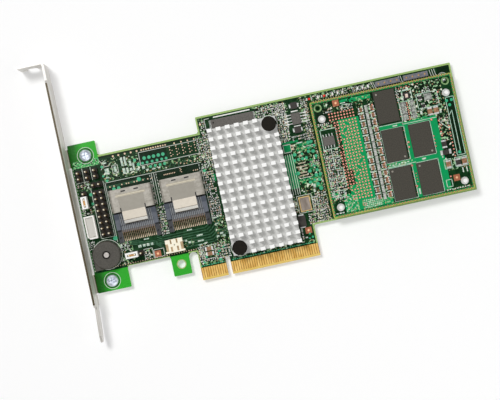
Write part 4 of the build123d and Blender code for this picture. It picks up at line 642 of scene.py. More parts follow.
class CARD_OT_moulded_finish(bpy.types.Operator):
    """Moulded plastics, chips and ceramics"""
    bl_idname = "card.moulded_finish"
    bl_label = "Plastic and ceramic finishes"

    def execute(self, context):
        chip = finish("chip_resin", paint(60, 58, 51), paint(78, 74, 66), 2400, (1, 1, 1), (0.55, 0.7),
                      bump=0.25, depth=0.02, specular=0.2)
        dress(chip, "controller_chip", *(f"memory_chip_{n}" for n in range(1, 6)))
        grey = finish("grey_chip_resin", paint(92, 89, 85), paint(112, 109, 104), 2400, (1, 1, 1), (0.55, 0.7),
                      bump=0.25, depth=0.02, specular=0.2,
                      extra=recess([(5.9, 6.6, 64.6, 65.3)], paint(30, 28, 26), paint(42, 40, 38)))
        dress(grey, "flash_memory_chip", "eight_lead_chips")
        pin = finish("black_nylon", paint(14, 11, 5), paint(26, 21, 12), 1500, (1, 1, 1), (0.4, 0.5),
                     bump=0.12, specular=0.12)
        dress(pin, "push_pins")
        header = finish("header_resin", paint(14, 10, 6), paint(36, 28, 18), 1100, (1, 1, 1), (0.4, 0.55),
                        bump=0.15, specular=0.2)
        dress(header, "block_header_housing", "pair_header_housings", "triple_header_housings")
        socket = finish("board_socket_resin", paint(24, 24, 24), paint(44, 44, 44), 1500, (1, 1, 1),
                        (0.4, 0.55), bump=0.15)
        dress(socket, "mezzanine_socket", "mezzanine_plug")
        white = finish("white_nylon", paint(244, 243, 239), paint(255, 255, 253), 1100, (1, 1, 1),
                       (0.35, 0.5), bump=0.1)
        dress(white, "module_standoffs", "jumper_shunts")
        # Painted shade: the recess of the battery socket is coloured a darker grey
        shroud = finish("shroud_nylon", paint(236, 234, 228), paint(252, 251, 247), 1100, (1, 1, 1),
                        (0.35, 0.5), bump=0.1,
                        extra=recess([(-55.65, -52.4, 27.8, 36.6)], paint(192, 190, 182), paint(208, 206, 199)))
        dress(shroud, "battery_socket")
        # Tan stains, and painted shade in the socket's slots and pockets, as one brown tint from dark to tan
        stains_and_slot_shade = recess([(-24.6, -23.5, 15.2, 18.4), (-18.2, -17.1, 15.2, 18.4), (-22.6, -21.75, 14.9, 16.9),
                         (-19.95, -19.1, 14.9, 16.9), (-22.5, -21.8, 18.2, 20.0), (-19.9, -19.2, 18.2, 20.0)],
                        paint(112, 76, 40), paint(232, 206, 158))
        beige = finish("natural_nylon", paint(250, 240, 212), paint(255, 251, 232), 1100, (1, 1, 1),
                       (0.35, 0.5), bump=0.1, extra=stains_and_slot_shade)
        dress(beige, "side_entry_socket")
        for letter, middle in zip("ab", PORT_MIDDLES):
            dress(port_resin(f"port_{letter}_resin", middle), f"port_{letter}_housing")
        buzzer = finish("buzzer_resin", paint(66, 63, 57), paint(84, 81, 74), 1800, (1, 1, 1), (0.42, 0.56),
                        bump=0.15, specular=0.3)
        dress(buzzer, "buzzer_case")
        core = finish("buzzer_core_metal", paint(182, 176, 170), paint(206, 200, 194), 900, (1, 1, 1),
                      (0.35, 0.5), metal=0.1, bump=0.1)
        dress(core, "buzzer_core")
        pad = finish("heat_pad", paint(150, 152, 150), paint(176, 178, 176), 900, (1, 1, 1), (0.7, 0.85),
                     bump=0.1)
        dress(pad, "thermal_pad")
        array = finish("array_ceramic", paint(142, 146, 138), paint(206, 208, 200), 1300, (1, 1, 1),
                       (0.4, 0.6), bump=0.2)
        dress(array, "resistor_arrays")
        coil = finish("ferrite", paint(22, 17, 11), paint(44, 36, 25), 1400, (1, 1, 1), (0.4, 0.6), bump=0.2)
        dress(coil, "power_coil", "power_diodes", "chip_beads")
        light = finish("red_lens", paint(240, 30, 20), paint(255, 70, 50), 1200, (1, 1, 1), (0.2, 0.3),
                       bump=0.05, coat=0.4)
        dress(light, "status_lights")
        block_resin = finish("indicator_resin", paint(96, 96, 104), paint(128, 126, 134), 1300, (1, 1, 1),
                             (0.4, 0.55), bump=0.15)
        dress(block_resin, "indicator_blocks")
        brown = finish("capacitor_ceramic", paint(122, 84, 54), paint(176, 128, 92), 1100, (1, 1, 1),
                       (0.35, 0.5), bump=0.15)
        dress(brown, "chip_capacitors")
        return {"FINISHED"}


# Printed and plated detail of the main board

BOARD_PRINT = [
    [(-44.0, 49.6), (-2.7, 49.6)], [(-24.3, 36.2), (-24.3, 49.6)], [(-23.3, 36.2), (-23.3, 49.6)],
    frame_run(-27.9, -2.1, 53.6, 59.3), [(-45.2, 26.0), (-45.2, 50.6)], [(-44.5, 24.0), (-44.5, 49.6)],
    [(-2.8, 24.0), (-2.8, 46.5)], [(-44.9, 55.4), (-44.0, 56.4), (-41.4, 56.4), (-40.6, 57.4)],
    frame_run(-40.2, -37.8, 52.8, 56.2), [(-45.0, 59.4), (-44.2, 58.2), (-42.4, 59.0)],
    [(-53.0, 52.1), (-53.0, 57.6)], [(-49.4, 52.1), (-49.4, 57.6)], [(-56.4, 51.75), (-51.2, 51.75)],
    [(-51.0, 26.9), (-51.0, 48.4)], [(-50.8, 26.6), (-45.4, 26.6)], [(-51.6, 51.6), (-51.6, 48.4)],
    [(-34.3, 14.0), (-34.3, 18.3)],
    [(-30.6, 14.0), (-30.6, 18.3)], [(-34.3, 18.3), (-30.6, 18.3)], frame_run(-30.2, -25.9, 13.9, 17.2),
    frame_run(-9.4, -4.4, 8.6, 14.2), [(-44.3, 15.4), (-43.4, 15.4), (-43.4, 16.6)],
    frame_run(33.2, 36.4, 45.8, 49.1), [(33.3, 27.4), (33.3, 44.8)], [(34.3, 27.4), (34.3, 44.8)],
    [(35.3, 27.4), (35.3, 44.8)], [(36.2, 27.4), (36.2, 44.8)], frame_run(34.3, 40.6, 19.2, 26.6),
    [(37.4, 62.4), (37.4, 56.4)], [(45.4, 62.4), (45.4, 56.4)], [(77.2, 64.9), (76.6, 67.6)],
    [(76.4, 64.9), (75.8, 67.6)], [(88.2, 64.9), (87.8, 67.6)], [(89.0, 64.9), (88.6, 67.6)],
    [(101.6, 64.9), (101.2, 67.6)], [(102.6, 64.9), (102.2, 67.6)], [(103.6, 64.9), (103.2, 67.6)],
    [(-10.4, 9.6), (-10.4, 15.0)], [(-8.8, 15.3), (-7.4, 15.3)], [(2.6, 62.8), (2.6, 67.2), (4.6, 67.2)],
    [(-56.3, 24.8), (-54.9, 26.4)], [(43.2, 46.9), (46.6, 46.9)], [(38.4, 33.8), (42.6, 33.8)],
] + [run for x in (-25.1, -22.4, -3.6) for run in dashes(x, 36.6, 49.0, 1.3, 0.55)] + \
    dashes(-56.7, 13.4, 58.0, 1.3, 0.4) + dashes(0.2, 47.0, 58.0, 1.6, 0.8)
TEST_POINTS = (
    [(x, 56.5, 0.75) for x in (-25.9, -23.8, -21.8, -19.7, -17.7)]
    + [(x, 54.5, 0.6) for x in (-27.0, -25.0, -22.8, -20.7, -18.6, -16.7)]
    + [(x, 52.4, 0.62) for x in (-23.9, -21.9, -19.8, -17.8)]
    + [(-41.3, 46.3, 0.75), (-39.2, 46.3, 0.75), (-30.0, 48.2, 0.9), (-51.4, 46.0, 0.75), (-51.5, 42.0, 0.6),
       (-28.8, 54.4, 0.75), (-30.1, 56.5, 0.65), (-45.2, 25.6, 0.95), (-43.4, 50.3, 0.6), (-44.4, 56.6, 0.6),
       (-44.6, 52.6, 0.5), (-1.8, 45.8, 0.6), (-9.9, 7.6, 0.6), (-8.6, 9.6, 0.5), (-2.8, 11.1, 0.6),
       (-3.7, 9.7, 0.55), (-3.0, 7.4, 0.7), (-0.9, 12.4, 0.5), (44.5, 30.1, 0.75), (45.6, 31.8, 0.7),
       (43.5, 32.0, 0.6), (44.6, 34.0, 0.75), (46.4, 34.0, 0.75), (45.4, 36.0, 0.7), (42.3, 36.1, 0.75),
       (37.1, 36.1, 0.8), (36.4, 36.1, 0.5), (44.5, 38.2, 0.75), (46.2, 42.0, 0.7), (42.0, 42.0, 0.65),
       (40.4, 41.9, 0.7), (38.5, 42.0, 0.6), (36.8, 41.8, 0.65), (37.4, 44.3, 0.75), (40.5, 44.0, 0.55),
       (43.5, 44.5, 0.7), (45.4, 44.2, 0.75), (46.4, 46.5, 0.6), (44.0, 48.3, 0.75), (45.4, 48.4, 0.7),
       (41.5, 31.4, 0.7), (45.5, 28.0, 0.85), (43.9, 46.0, 0.5), (37.6, 19.6, 0.5), (36.6, 10.0, 0.4),
       (37.6, 8.4, 0.45), (36.2, 8.0, 0.35)]
)
LIGHT_VIAS = (
    [(x, 60.1, 0.42) for x in (-38.8, -36.4, -33.6, -31.0, -28.4)] + [(36.9, 46.9, 0.4), (36.9, 48.3, 0.4)]
    + [(-26.4 + 1.05 * n, 60.1, 0.36) for n in range(11)] + [(x, 60.0, 0.36) for x in (-12.0, -9.0, -6.2, -3.4)]
    + [(x, y, 0.26) for x in (-14.4, -11.6, -8.9, -6.1, -3.6) for y in (55.0, 56.3, 57.6, 58.7)]
    + [(x + 0.9, y, 0.2) for x in (-14.4, -11.6, -8.9, -6.1) for y in (55.4, 57.2)]
    + [(-12.6 + 1.5 * n, 51.6 - 0.5 * (n % 3), 0.28) for n in range(7)] + [(0.5, 65.5, 0.5)]
    + [(-11.9 + 0.4 * (n % 2), 48.9 - 0.5 * n, 0.22) for n in range(4)]
    + [(x, 47.5, 0.3) for x in (-42.8, -41.0, -37.6, -35.6, -34.6, -32.2, -31.0, -28.3, -26.2, -24.5)]
    + [(-19.0 + 0.75 * n, 47.7, 0.26) for n in range(7)] + [(x, 46.9, 0.26) for x in (-6.4, -5.4, -4.6)]
    + [(-56.0 + 1.06 * n, 13.75, 0.24) for n in range(13)] + [(-42.0 + 1.06 * n, 13.75, 0.24) for n in range(29)]
    + [(-11.5, 8.0 + 1.1 * n, 0.2) for n in range(5)]
    + [(46.9, 14.6 + 1.05 * n, 0.2) for n in range(50)] + [(50.0 + 1.1 * n, 64.9, 0.18) for n in range(52)]
)
BOARD_PADS = [
    (-43.0, 57.9, 1.6, 0.6), (-42.6, 54.2, 1.8, 2.6), (-43.0, 51.6, 1.4, 0.6), (-39.0, 54.5, 1.1, 2.4),
    (-35.6, 57.0, 0.9, 3.8), (-34.2, 57.0, 0.9, 3.8), (-35.4, 52.9, 1.2, 2.4), (-33.9, 52.9, 0.9, 2.4),
    (-32.2, 55.6, 1.0, 2.2), (-31.0, 54.0, 0.8, 3.2), (-32.3, 53.0, 1.1, 1.2), (-29.6, 52.4, 1.2, 0.9),
    (-27.0, 52.6, 1.2, 1.2), (-25.6, 51.4, 1.2, 0.7), (-22.8, 51.2, 1.4, 0.6), (-20.4, 51.2, 1.0, 0.6),
    (-35.6, 20.0, 1.4, 1.1), (-33.7, 20.0, 1.2, 1.1), (-32.0, 20.0, 1.2, 1.1), (-30.3, 20.0, 1.0, 1.1),
    (-32.2, 22.5, 2.2, 0.5), (-13.4, 22.4, 2.2, 0.5), (-9.6, 19.3, 2.6, 0.6), (-9.6, 16.9, 2.6, 0.6),
    (-10.2, 15.2, 1.6, 0.5), (-7.6, 15.6, 1.2, 0.4), (-0.2, 18.2, 1.4, 0.8), (0.6, 17.0, 1.2, 0.8),
    (-2.0, 17.2, 1.2, 0.7), (-15.9, 18.2, 1.0, 0.8), (-14.4, 17.2, 1.2, 0.8), (-1.6, 25.2, 2.0, 0.5),
    (-1.4, 22.6, 1.4, 0.5), (47.35, 66.3, 0.6, 1.1), (49.45, 66.3, 0.6, 1.1), (53.95, 66.3, 0.6, 1.1),
    (56.05, 66.3, 0.6, 1.1), (-51.9, 50.4, 0.8, 0.6), (-51.9, 49.2, 0.8, 0.6), (40.4, 48.9, 2.6, 0.5), (42.9, 29.6, 1.0, 1.6), (42.5, 27.6, 0.8, 1.4),
    (38.0, 28.0, 0.8, 0.5), (-43.2, 22.1, 0.7, 1.3), (-41.6, 21.9, 0.8, 1.2), (-45.0, 19.4, 0.5, 1.0),
]
WHITE_BARS = [(14.6, 67.3, 16.0, 0.5), (41.1, 62.55, 3.0, 0.5), (41.1, 56.1, 3.0, 0.45)] + [
    (x, 57.4 + 1.27 * n, 1.9, 0.5) for n in range(4) for x in (37.1, 45.3)
] + [(x, 66.4, 0.8, 1.3) for x in (52.2, 58.6, 60.9, 63.0, 69.6, 71.8, 74.2)]
EDGE_DASHES = [(-11.3 + 1.0 * n, 6.1, 0.6, 0.35) for n in range(10)] + [(2.2 + 1.0 * n, 6.1, 0.6, 0.35) for n in range(36)]
TAN_PADS = [
    (39.6, 40.2, 3.2, 0.5), (39.2, 38.75, 4.8, 0.55), (39.6, 37.5, 3.8, 0.5), (39.6, 36.1, 3.0, 0.55),
    (39.4, 34.9, 3.6, 0.5), (39.8, 43.5, 1.4, 0.9), (37.4, 47.5, 0.5, 2.2),
]
BOARD_TRACES = [
    [(-27.5, 22.2 - d), (-25.4 + 0.4 * d, 20.9 - d), (-6.2 + 0.5 * d, 20.9 - d), (-4.4 + 0.5 * d, 22.0 - d),
     (-3.2 + 0.6 * d, 23.6 - d), (-0.6 + 0.6 * d, 26.2 - d)] for d in (-1.1, 0.0, 1.1, 2.2)
] + [
    [(-16.0, 17.6 - d), (-4.6 + 0.4 * d, 17.6 - d), (-2.4 + 0.4 * d, 19.2 - d), (2.2, 20.0 - d)]
    for d in (0.0, 1.1, 2.2)
] + [
    [(-40.0, 22.9 - d), (-36.0, 22.5 - d), (-33.4, 21.3 - d), (-28.8, 21.0 - d), (-26.2, 18.8 - d),
     (-25.6, 16.6 - d)] for d in (0.0, 0.7, 1.4)
] + [
    [(-20.0 + 2.0 * n, 50.2), (-20.0 + 2.0 * n, 51.0), (-19.2 + 2.0 * n, 51.8)] for n in range(8)
] + [
    [(-44.2, 47.9 - d), (-27.6, 47.9 - d)] for d in (0.0, 0.55)
]


class CARD_OT_board_print(bpy.types.Operator):
    """White outlines printed round the parts of the main board"""
    bl_idname = "card.board_print"
    bl_label = "Board print"

    def execute(self, context):
        ink = finish("component_print", shade(colours().print_white, 0.82), colours().print_white, 2600,
                     (1, 1, 1), (0.55, 0.7), bump=0.1, specular=0.2)
        low, high = BOARD_FACE, BOARD_FACE + sizes().print_height / MM
        lines("board_print", BOARD_PRINT, low, high, sizes().print_width / MM, ink)
        rings = [ring(x, y, low, high, radius, radius - width, 40)
                 for x, y, radius, width in ((-50.2, 62.85, 3.6, 0.22), (-50.2, 8.15, 3.6, 0.22),
                                             (-49.9, 19.45, 6.5, 0.25), (29.15, 59.25, 4.0, 0.3),
                                             (6.15, 10.65, 4.0, 0.3), (106.2, 63.5, 1.95, 0.2))]
        joined("board_print_rings", rings, ink)
        # Painted shadow under each screw head: a dark green ring round the screw
        dark = finish("screw_painted_shadow", shade(colours().tab_green, 0.16), shade(colours().tab_green, 0.5), 500,
                      (1, 1, 1), (0.25, 0.4), bump=0.08, specular=0.16)
        gaps = [ring(x, y, low, low + 0.01, 3.25, 2.4, 32) for x, y in ((-50.2, 62.85), (-50.2, 8.15))]
        joined("screw_painted_shadow_rings", gaps, dark)
        hem = finish("hook_hem", paint(150, 168, 96), paint(196, 204, 140), 900, (1, 1, 1), (0.35, 0.5),
                     bump=0.1)
        joined("hook_hole_ring", [ring(-19.75, 8.8, low, low + 0.01, 2.05, 1.68, 32)], hem)
        return {"FINISHED"}


class CARD_OT_board_copper(bpy.types.Operator):
    """Test points, vias and traces under the lacquer, and the bare alignment marks"""
    bl_idname = "card.board_copper"
    bl_label = "Board copper"

    def execute(self, context):
        c = colours()
        point = finish("lacquered_pad", shade(c.test_point, 0.8), shade(c.test_point, 1.1), 1200, (1, 1, 1),
                       (0.3, 0.4), bump=0.1)
        dots("board_test_points", TEST_POINTS, BOARD_FACE, BOARD_FACE + 0.03, 0.6, point, 14)
        shadow = finish("via_clearance", shade(c.mask_deep, 0.4), shade(c.mask_deep, 0.8), 900, (1, 1, 1),
                        (0.3, 0.45), bump=0.05, specular=0.12)
        dots("board_via_clearances", [(x, y, r + 0.17) for x, y, r in LIGHT_VIAS], BOARD_FACE,
             BOARD_FACE + 0.01, 0.3, shadow)
        via = finish("tinned_via", shade(c.board_via, 0.75), shade(c.board_via, 1.15), 600, (1, 1, 1),
                     (0.3, 0.5), metal=0.1, bump=0.1)
        dots("board_vias", LIGHT_VIAS, BOARD_FACE, BOARD_FACE + 0.02, 0.3, via)
        trace = finish("lacquered_trace", shade(c.trace, 0.7), shade(c.trace, 1.2), 700, (1, 1, 1), (0.26, 0.38),
                       bump=0.05, specular=0.16)
        lines("board_traces", BOARD_TRACES, BOARD_FACE, BOARD_FACE + 0.015, 0.42, trace)
        pad = finish("tinned_pad", paint(120, 160, 140), paint(222, 228, 216), 1500, (1, 1, 1), (0.3, 0.5),
                     metal=0.1, bump=0.15)
        plates("board_pads", BOARD_PADS, BOARD_FACE, 0.03, pad, 0.01)
        plates("edge_dashes", EDGE_DASHES, BOARD_FACE, 0.03, point, 0.01)
        bar = finish("white_bar", paint(222, 224, 218), paint(250, 250, 246), 1500, (1, 1, 1), (0.4, 0.55), bump=0.1)
        plates("white_bars", WHITE_BARS, BOARD_FACE, 0.03, bar, 0.01)
        tan = finish("bare_pad", paint(150, 138, 112), paint(204, 194, 170), 1500, (1, 1, 1), (0.35, 0.5),
                     bump=0.1)
        plates("tan_pads", TAN_PADS, BOARD_FACE, 0.03, tan, 0.01)
        copper = finish("bare_copper", shade(c.copper, 0.85), shade(c.copper, 1.15), 1500, (1, 1, 1),
                        (0.35, 0.5), metal=0.3, bump=0.15)
        marks = [block(x - 1.35, x + 1.35, y - 1.35, y + 1.35, z, z + 0.02, 0.005)
                 for x, y, z in MARKS]
        joined("alignment_marks", marks, copper)
        bright = finish("bright_copper", paint(236, 170, 122), paint(252, 206, 160), 1500, (1, 1, 1),
                        (0.3, 0.45), metal=0.3, bump=0.1)
        dots_of_marks = [disc(x, y, z + 0.02, z + 0.05, 0.5, 18) for x, y, z in MARKS]
        joined("alignment_dots", dots_of_marks, bright)
        return {"FINISHED"}


MARKS = [(36.4, 11.5, BOARD_FACE), (-28.7, 15.3, BOARD_FACE), (58.7, 61.9, MODULE_FACE),
         (102.3, 20.2, MODULE_FACE)]


# Small chip parts: zones with lowest and highest x and y, the face they stand on and the pitch between them

PART_ZONES = [
    (-2.4, 2.2, 26.0, 45.0, BOARD_FACE, 1.05), (-24.9, -22.4, 23.0, 35.4, BOARD_FACE, 1.05),
    (0.9, 2.4, 46.4, 67.0, BOARD_FACE, 1.1), (-11.0, 2.2, 8.0, 14.6, BOARD_FACE, 1.2),
    (33.2, 37.2, 50.8, 67.2, BOARD_FACE, 1.05), (43.6, 47.0, 49.8, 67.2, BOARD_FACE, 1.1),
    (25.6, 38.4, 63.4, 67.4, BOARD_FACE, 1.1), (38.0, 46.8, 14.4, 19.0, BOARD_FACE, 1.1),
    (41.4, 46.8, 19.4, 26.2, BOARD_FACE, 1.1), (38.2, 43.2, 50.6, 52.4, BOARD_FACE, 1.2),
    (50.4, 76.0, 65.7, 67.6, BOARD_FACE, 1.35), (-56.0, -52.6, 49.0, 51.0, BOARD_FACE, 1.3),
    (-43.4, -39.6, 19.9, 22.6, BOARD_FACE, 1.3), (-55.6, -51.8, 38.3, 40.2, BOARD_FACE, 1.2),
    (-33.6, -31.2, 14.4, 17.8, BOARD_FACE, 1.2), (-56.0, -54.6, 23.4, 26.4, BOARD_FACE, 1.2),
    (32.9, 33.6, 19.2, 26.8, BOARD_FACE, 1.1), (33.6, 35.4, 8.6, 12.8, BOARD_FACE, 1.2),
    (43.6, 46.6, 38.6, 41.0, BOARD_FACE, 1.2), (-2.2, 0.0, 47.0, 60.0, BOARD_FACE, 1.25),
    (49.6, 56.0, 22.0, 43.0, MODULE_FACE, 1.15), (52.8, 56.8, 58.8, 61.0, MODULE_FACE, 1.2),
    (60.6, 66.0, 58.8, 60.4, MODULE_FACE, 1.2), (49.6, 54.6, 51.8, 54.4, MODULE_FACE, 1.15),
    (92.8, 94.6, 52.6, 57.4, MODULE_FACE, 1.2), (95.6, 99.4, 58.8, 60.0, MODULE_FACE, 1.2),
    (100.6, 103.6, 43.6, 48.0, MODULE_FACE, 1.2), (99.6, 101.6, 51.8, 56.0, MODULE_FACE, 1.25),
    (84.9, 86.0, 57.4, 62.2, MODULE_FACE, 1.3),
]
KEEP_CLEAR = [
    (37.6, 45.2, 56.0, 62.4), (38.6, 44.0, 62.8, 66.9), (38.2, 43.6, 52.6, 56.4), (34.4, 40.4, 19.0, 26.8),
    (32.4, 36.4, 12.8, 19.0), (-9.0, -4.8, 9.0, 14.2), (47.0, 49.8, 65.4, 67.4), (53.6, 56.4, 65.4, 67.4),
    (50.2, 53.0, 55.0, 62.8), (92.6, 99.4, 51.4, 58.2), (-57.0, -53.0, 46.0, 49.0), (49.6, 53.2, 16.2, 20.4), (95.0, 103.6, 47.6, 51.4),
    (103.0, 107.4, 54.4, 58.4), (50.0, 57.4, 43.4, 51.6), (35.0, 37.8, 10.0, 12.8),
]
KINDS = ("dark", "brown", "tan", "pale")


def part_places(seed=7):
    """Places, turns, kinds and lengths of the small parts, the same at each run."""
    draw = random.Random(seed)
    places = {kind: [] for kind in KINDS}
    for x0, x1, y0, y1, level, pitch in PART_ZONES:
        for row in range(int((y1 - y0) / pitch) + 1):
            for column in range(int((x1 - x0) / (pitch * 1.15)) + 1):
                x, y = x0 + column * pitch * 1.15, y0 + row * pitch
                upright = draw.random() < 0.35
                kind = draw.choices(KINDS, (6, 3, 3, 3))[0]
                shown = draw.random() < 0.9
                length = draw.choice((0.86, 0.95, 1.02))
                if shown and not any(a - 0.6 < x < b + 0.6 and c - 0.5 < y < d + 0.5
                                     for a, b, c, d in KEEP_CLEAR):
                    places[kind].append((x, y, level, 90 if upright else 0, length))
    return places


LARGER_PARTS = {
    "dark": [(94.0, 56.6, 1.8, 1.2, 0.6), (94.8, 52.9, 1.5, 1.2, 0.6), (88.7, 58.6, 2.6, 2.8, 0.6)],
    "grey": [(97.4, 56.3, 3.2, 2.8, 0.7)] + [(x, 49.7 + 2.7 * n, 1.3, 2.5, 0.45) for x in (86.3, 90.2) for n in range(3)],
    "cream": [(88.7, 58.6, 1.2, 1.6, 0.64)],
}


class CARD_OT_larger_parts(bpy.types.Operator):
    """Arrays, regulators and the gold windows that stand between the larger chips"""
    bl_idname = "card.larger_parts"
    bl_label = "Larger chip parts"

    def execute(self, context):
        looks = {"dark": (paint(20, 18, 15), paint(42, 38, 32)), "grey": (paint(104, 108, 102), paint(186, 190, 182)),
                 "cream": (paint(214, 176, 156), paint(250, 236, 222))}
        for kind, places in LARGER_PARTS.items():
            look = finish("larger_chip_" + kind, *looks[kind], 1300, (1, 1, 1), (0.4, 0.6), bump=0.2)
            made = [block(x - w / 2, x + w / 2, y - l / 2, y + l / 2, MODULE_FACE, MODULE_FACE + h, 0.06)
                    for x, y, w, l, h in places]
            joined("larger_parts_" + kind, made, look)
        legs = [(x + side * 1.05, 48.9 + 0.68 * n, 0.5, 0.34) for x in (86.3, 90.2) for side in (-1, 1)
                for n in range(11)]
        legs += [(x, y, 0.45, 0.7) for x in (93.4, 94.0, 94.6) for y in (57.5, 55.7)]
        legs += [(x, y, 0.4, 0.6) for x in (94.3, 95.3) for y in (53.8, 52.0)]
        tin = finish("leg_tin", paint(196, 198, 192), paint(240, 240, 234), 1300, (1, 1, 1), (0.3, 0.5),
                     metal=0.1, bump=0.2)
        plates("larger_part_legs", legs, MODULE_FACE, 0.12, tin, 0.02)
        low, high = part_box("indicator_blocks")
        amber = finish("window_amber", paint(176, 128, 66), paint(214, 168, 100), 1300, (1, 1, 1), (0.3, 0.45),
                       bump=0.1)
        top = high[2] / MM
        windows = [disc(x + (n - 1.5) * 2.675, 66.3, top - 0.02, top + 0.02, 0.34, 12)
                   for x in (82.6, 94.8) for n in range(4)]
        joined("indicator_windows", windows, amber)
        low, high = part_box("buzzer_case")
        dark = finish("sound_hole_shade", paint(44, 42, 38), paint(62, 59, 54), 900, (1, 1, 1), (0.6, 0.75),
                      bump=0.05)
        top = high[2] / MM
        joined("sound_hole_shade", [ring(-49.9, 19.45, top - 0.02, top, 1.75, 1.35, 32)], dark)
        return {"FINISHED"}


class CARD_OT_small_parts(bpy.types.Operator):
    """Rows of small chip resistors and capacitors with their solder ends"""
    bl_idname = "card.small_parts"
    bl_label = "Small chip parts"

    def execute(self, context):
        places = part_places()
        body = block(-0.32, 0.32, -0.27, 0.27, 0.02, 0.4, 0.03)
        looks = {"dark": ("chip_dark", paint(16, 14, 11), paint(44, 38, 30)),
                 "brown": ("chip_brown", paint(112, 72, 48), paint(170, 124, 92)),
                 "tan": ("chip_tan", paint(168, 148, 112), paint(206, 190, 156)),
                 "pale": ("chip_pale", paint(126, 136, 128), paint(196, 202, 194))}
        for kind, (name, dark, light) in looks.items():
            look = finish(name, dark, light, 700, (1, 1, 1), (0.4, 0.6), bump=0.15)
            parts = [copy_of(body, x, y, z, turn, (length, 1, 1)) for x, y, z, turn, length in places[kind]]
            joined("small_parts_" + kind, parts, look)
        drop(body)
        ends = block(-0.55, -0.28, -0.3, 0.3, 0, 0.42, 0.04)
        other = copy_of(ends, 0, 0, 0, 180)
        deselect()
        ends.select_set(True)
        other.select_set(True)
        context.view_layer.objects.active = ends
        bpy.ops.object.join()
        settle()
        solder = finish("solder_ends", paint(196, 198, 194), paint(246, 246, 242), 900, (1, 1, 1),
                        (0.3, 0.5), metal=0.1, bump=0.25, depth=0.03)
        every = [place for kind in places.values() for place in kind]
        joined("small_part_ends", [copy_of(ends, x, y, z, turn, (length, 1, 1))
                                   for x, y, z, turn, length in every], solder)
        drop(ends)
        return {"FINISHED"}


# Printed and plated detail of the memory module

MODULE_VIAS = (
    [(54.9 + 1.28 * column, 55.2 + 1.28 * row, 0.36) for column in range(9) for row in range(3)]
    + [(56.5 + 1.28 * column, 20.5 + 1.28 * row, 0.36) for column in range(8) for row in range(27)
       if (column * 7 + row * 5) % 17 and not (column == 0 and row < 4)]
    + [(57.14 + 1.28 * column, 21.1 + 1.28 * row, 0.17) for column in range(7) for row in range(26)
       if (column + row) % 2]
    + [(85.4, 39.2, 0.45), (85.2, 37.1, 0.45), (84.8, 29.2, 0.45), (85.0, 20.2, 0.45), (96.9, 46.5, 0.45)]
    + [(85.8, 22.0 + 1.2 * n, 0.22) for n in range(4)] + [(96.4, 35.0 + 1.5 * n, 0.3) for n in range(4)]
    + [(103.6, 29.4 + 1.45 * n, 0.32) for n in range(10)] + [(99.9, 39.0 + 1.6 * n, 0.36) for n in range(5)]
    + [(85.0 + 1.1 * n, 62.6 - 0.5 * (n % 2), 0.26) for n in range(6)] + [(102.0, 57.4, 0.36), (99.9, 21.2, 0.36)]
    + [(73.7, 20.2 + 2.1 * n, 0.34) for n in range(19)] + [(75.0 + 9.6 * (n % 2), 16.0 + 1.5 * n, 0.2) for n in range(30)]
    + [(88.2, 48.6 + 1.0 * n, 0.3) for n in range(8)] + [(49.6 + 1.9 * (n % 3), 24.4 + 1.2 * n, 0.24) for n in range(16)]
    + [(48.4, 15.6 + 1.25 * n, 0.22) for n in range(39)] + [(50.0 + 1.25 * n, 63.8, 0.2) for n in range(47)]
    + [(108.6, 16.0 + 1.35 * n, 0.2) for n in range(36)] + [(50.0 + 1.25 * n, 14.65, 0.2) for n in range(47)]
)
MODULE_PRINT = [
    frame_run(104.6, 108.0, 29.4, 54.4), [(74.5, 48.1), (84.6, 48.1), (84.6, 47.1), (99.0, 47.1)],
    frame_run(74.8, 84.8, 15.6, 29.9), frame_run(74.8, 84.8, 32.1, 46.3), [(84.9, 48.4), (84.9, 62.9)],
    frame_run(86.8, 96.1, 15.6, 29.9), frame_run(86.8, 96.1, 32.1, 46.3), [(74.5, 30.3), (86.6, 30.3)],
    frame_run(49.7, 56.4, 43.3, 51.8), frame_run(61.2, 63.6, 59.2, 60.6), [(86.9, 56.4), (90.9, 56.4)],
    [(86.9, 56.4), (86.9, 60.9), (90.9, 60.9), (90.9, 56.4)], frame_run(97.6, 100.0, 17.0, 20.0),
    [(104.9, 47.0), (106.2, 48.6), (106.2, 30.0)], [(100.4, 44.6), (103.4, 41.4)],
    [(92.6, 58.2), (101.6, 58.2), (101.6, 51.9), (92.6, 51.9), (92.6, 58.2)],
    frame_run(98.4, 101.4, 24.6, 28.6), frame_run(103.0, 108.2, 24.6, 28.6), frame_run(50.2, 54.4, 22.4, 25.2),
    frame_run(49.4, 56.0, 26.6, 34.6), [(49.4, 30.6), (56.0, 30.6)], [(52.8, 34.6), (52.8, 43.0)],
]
MODULE_PADS = (
    [(68.3, 20.62 + 3.15 * n, 2.6, 0.48) for n in range(12)] + [(73.2, 20.62 + 3.15 * n, 1.9, 0.4) for n in range(12)]
    + [(105.6, 22.9, 0.5, 2.1), (107.3, 22.9, 0.5, 2.1), (85.8, 17.9, 0.7, 2.4), (90.4, 31.0, 1.6, 0.7)]
    + [(75.8 + 1.3 * n, 31.2 - 0.3 * (n % 2), 0.8, 0.5) for n in range(7)] + [(81.2, 47.2, 2.0, 0.5)]
    + [(x, 15.8, 0.9, 0.5) for x in (49.6, 51.0, 52.2)] + [(97.4 + 1.1 * n, 15.8, 0.7, 0.4) for n in range(9)]
    + [(x + 0.9 * (n % 3), 15.9 + 0.75 * n, 0.5, 0.35) for n in range(9) for x in (54.0, 56.6)]
    + [(62.0 + 0.85 * column, 15.9 + 0.75 * row, 0.5, 0.35) for column in range(9) for row in range(5)]
    + [(x, y, 0.55, 0.9) for x in (86.9, 90.6) for y in (57.6, 59.6)] + [(88.7, 61.2, 2.6, 0.4)]
    + [(93.4, 50.3, 0.9, 1.4), (101.5, 49.0, 0.8, 1.0), (98.3, 30.0, 0.5, 0.8), (61.6, 61.3, 2.2, 0.35)]
)
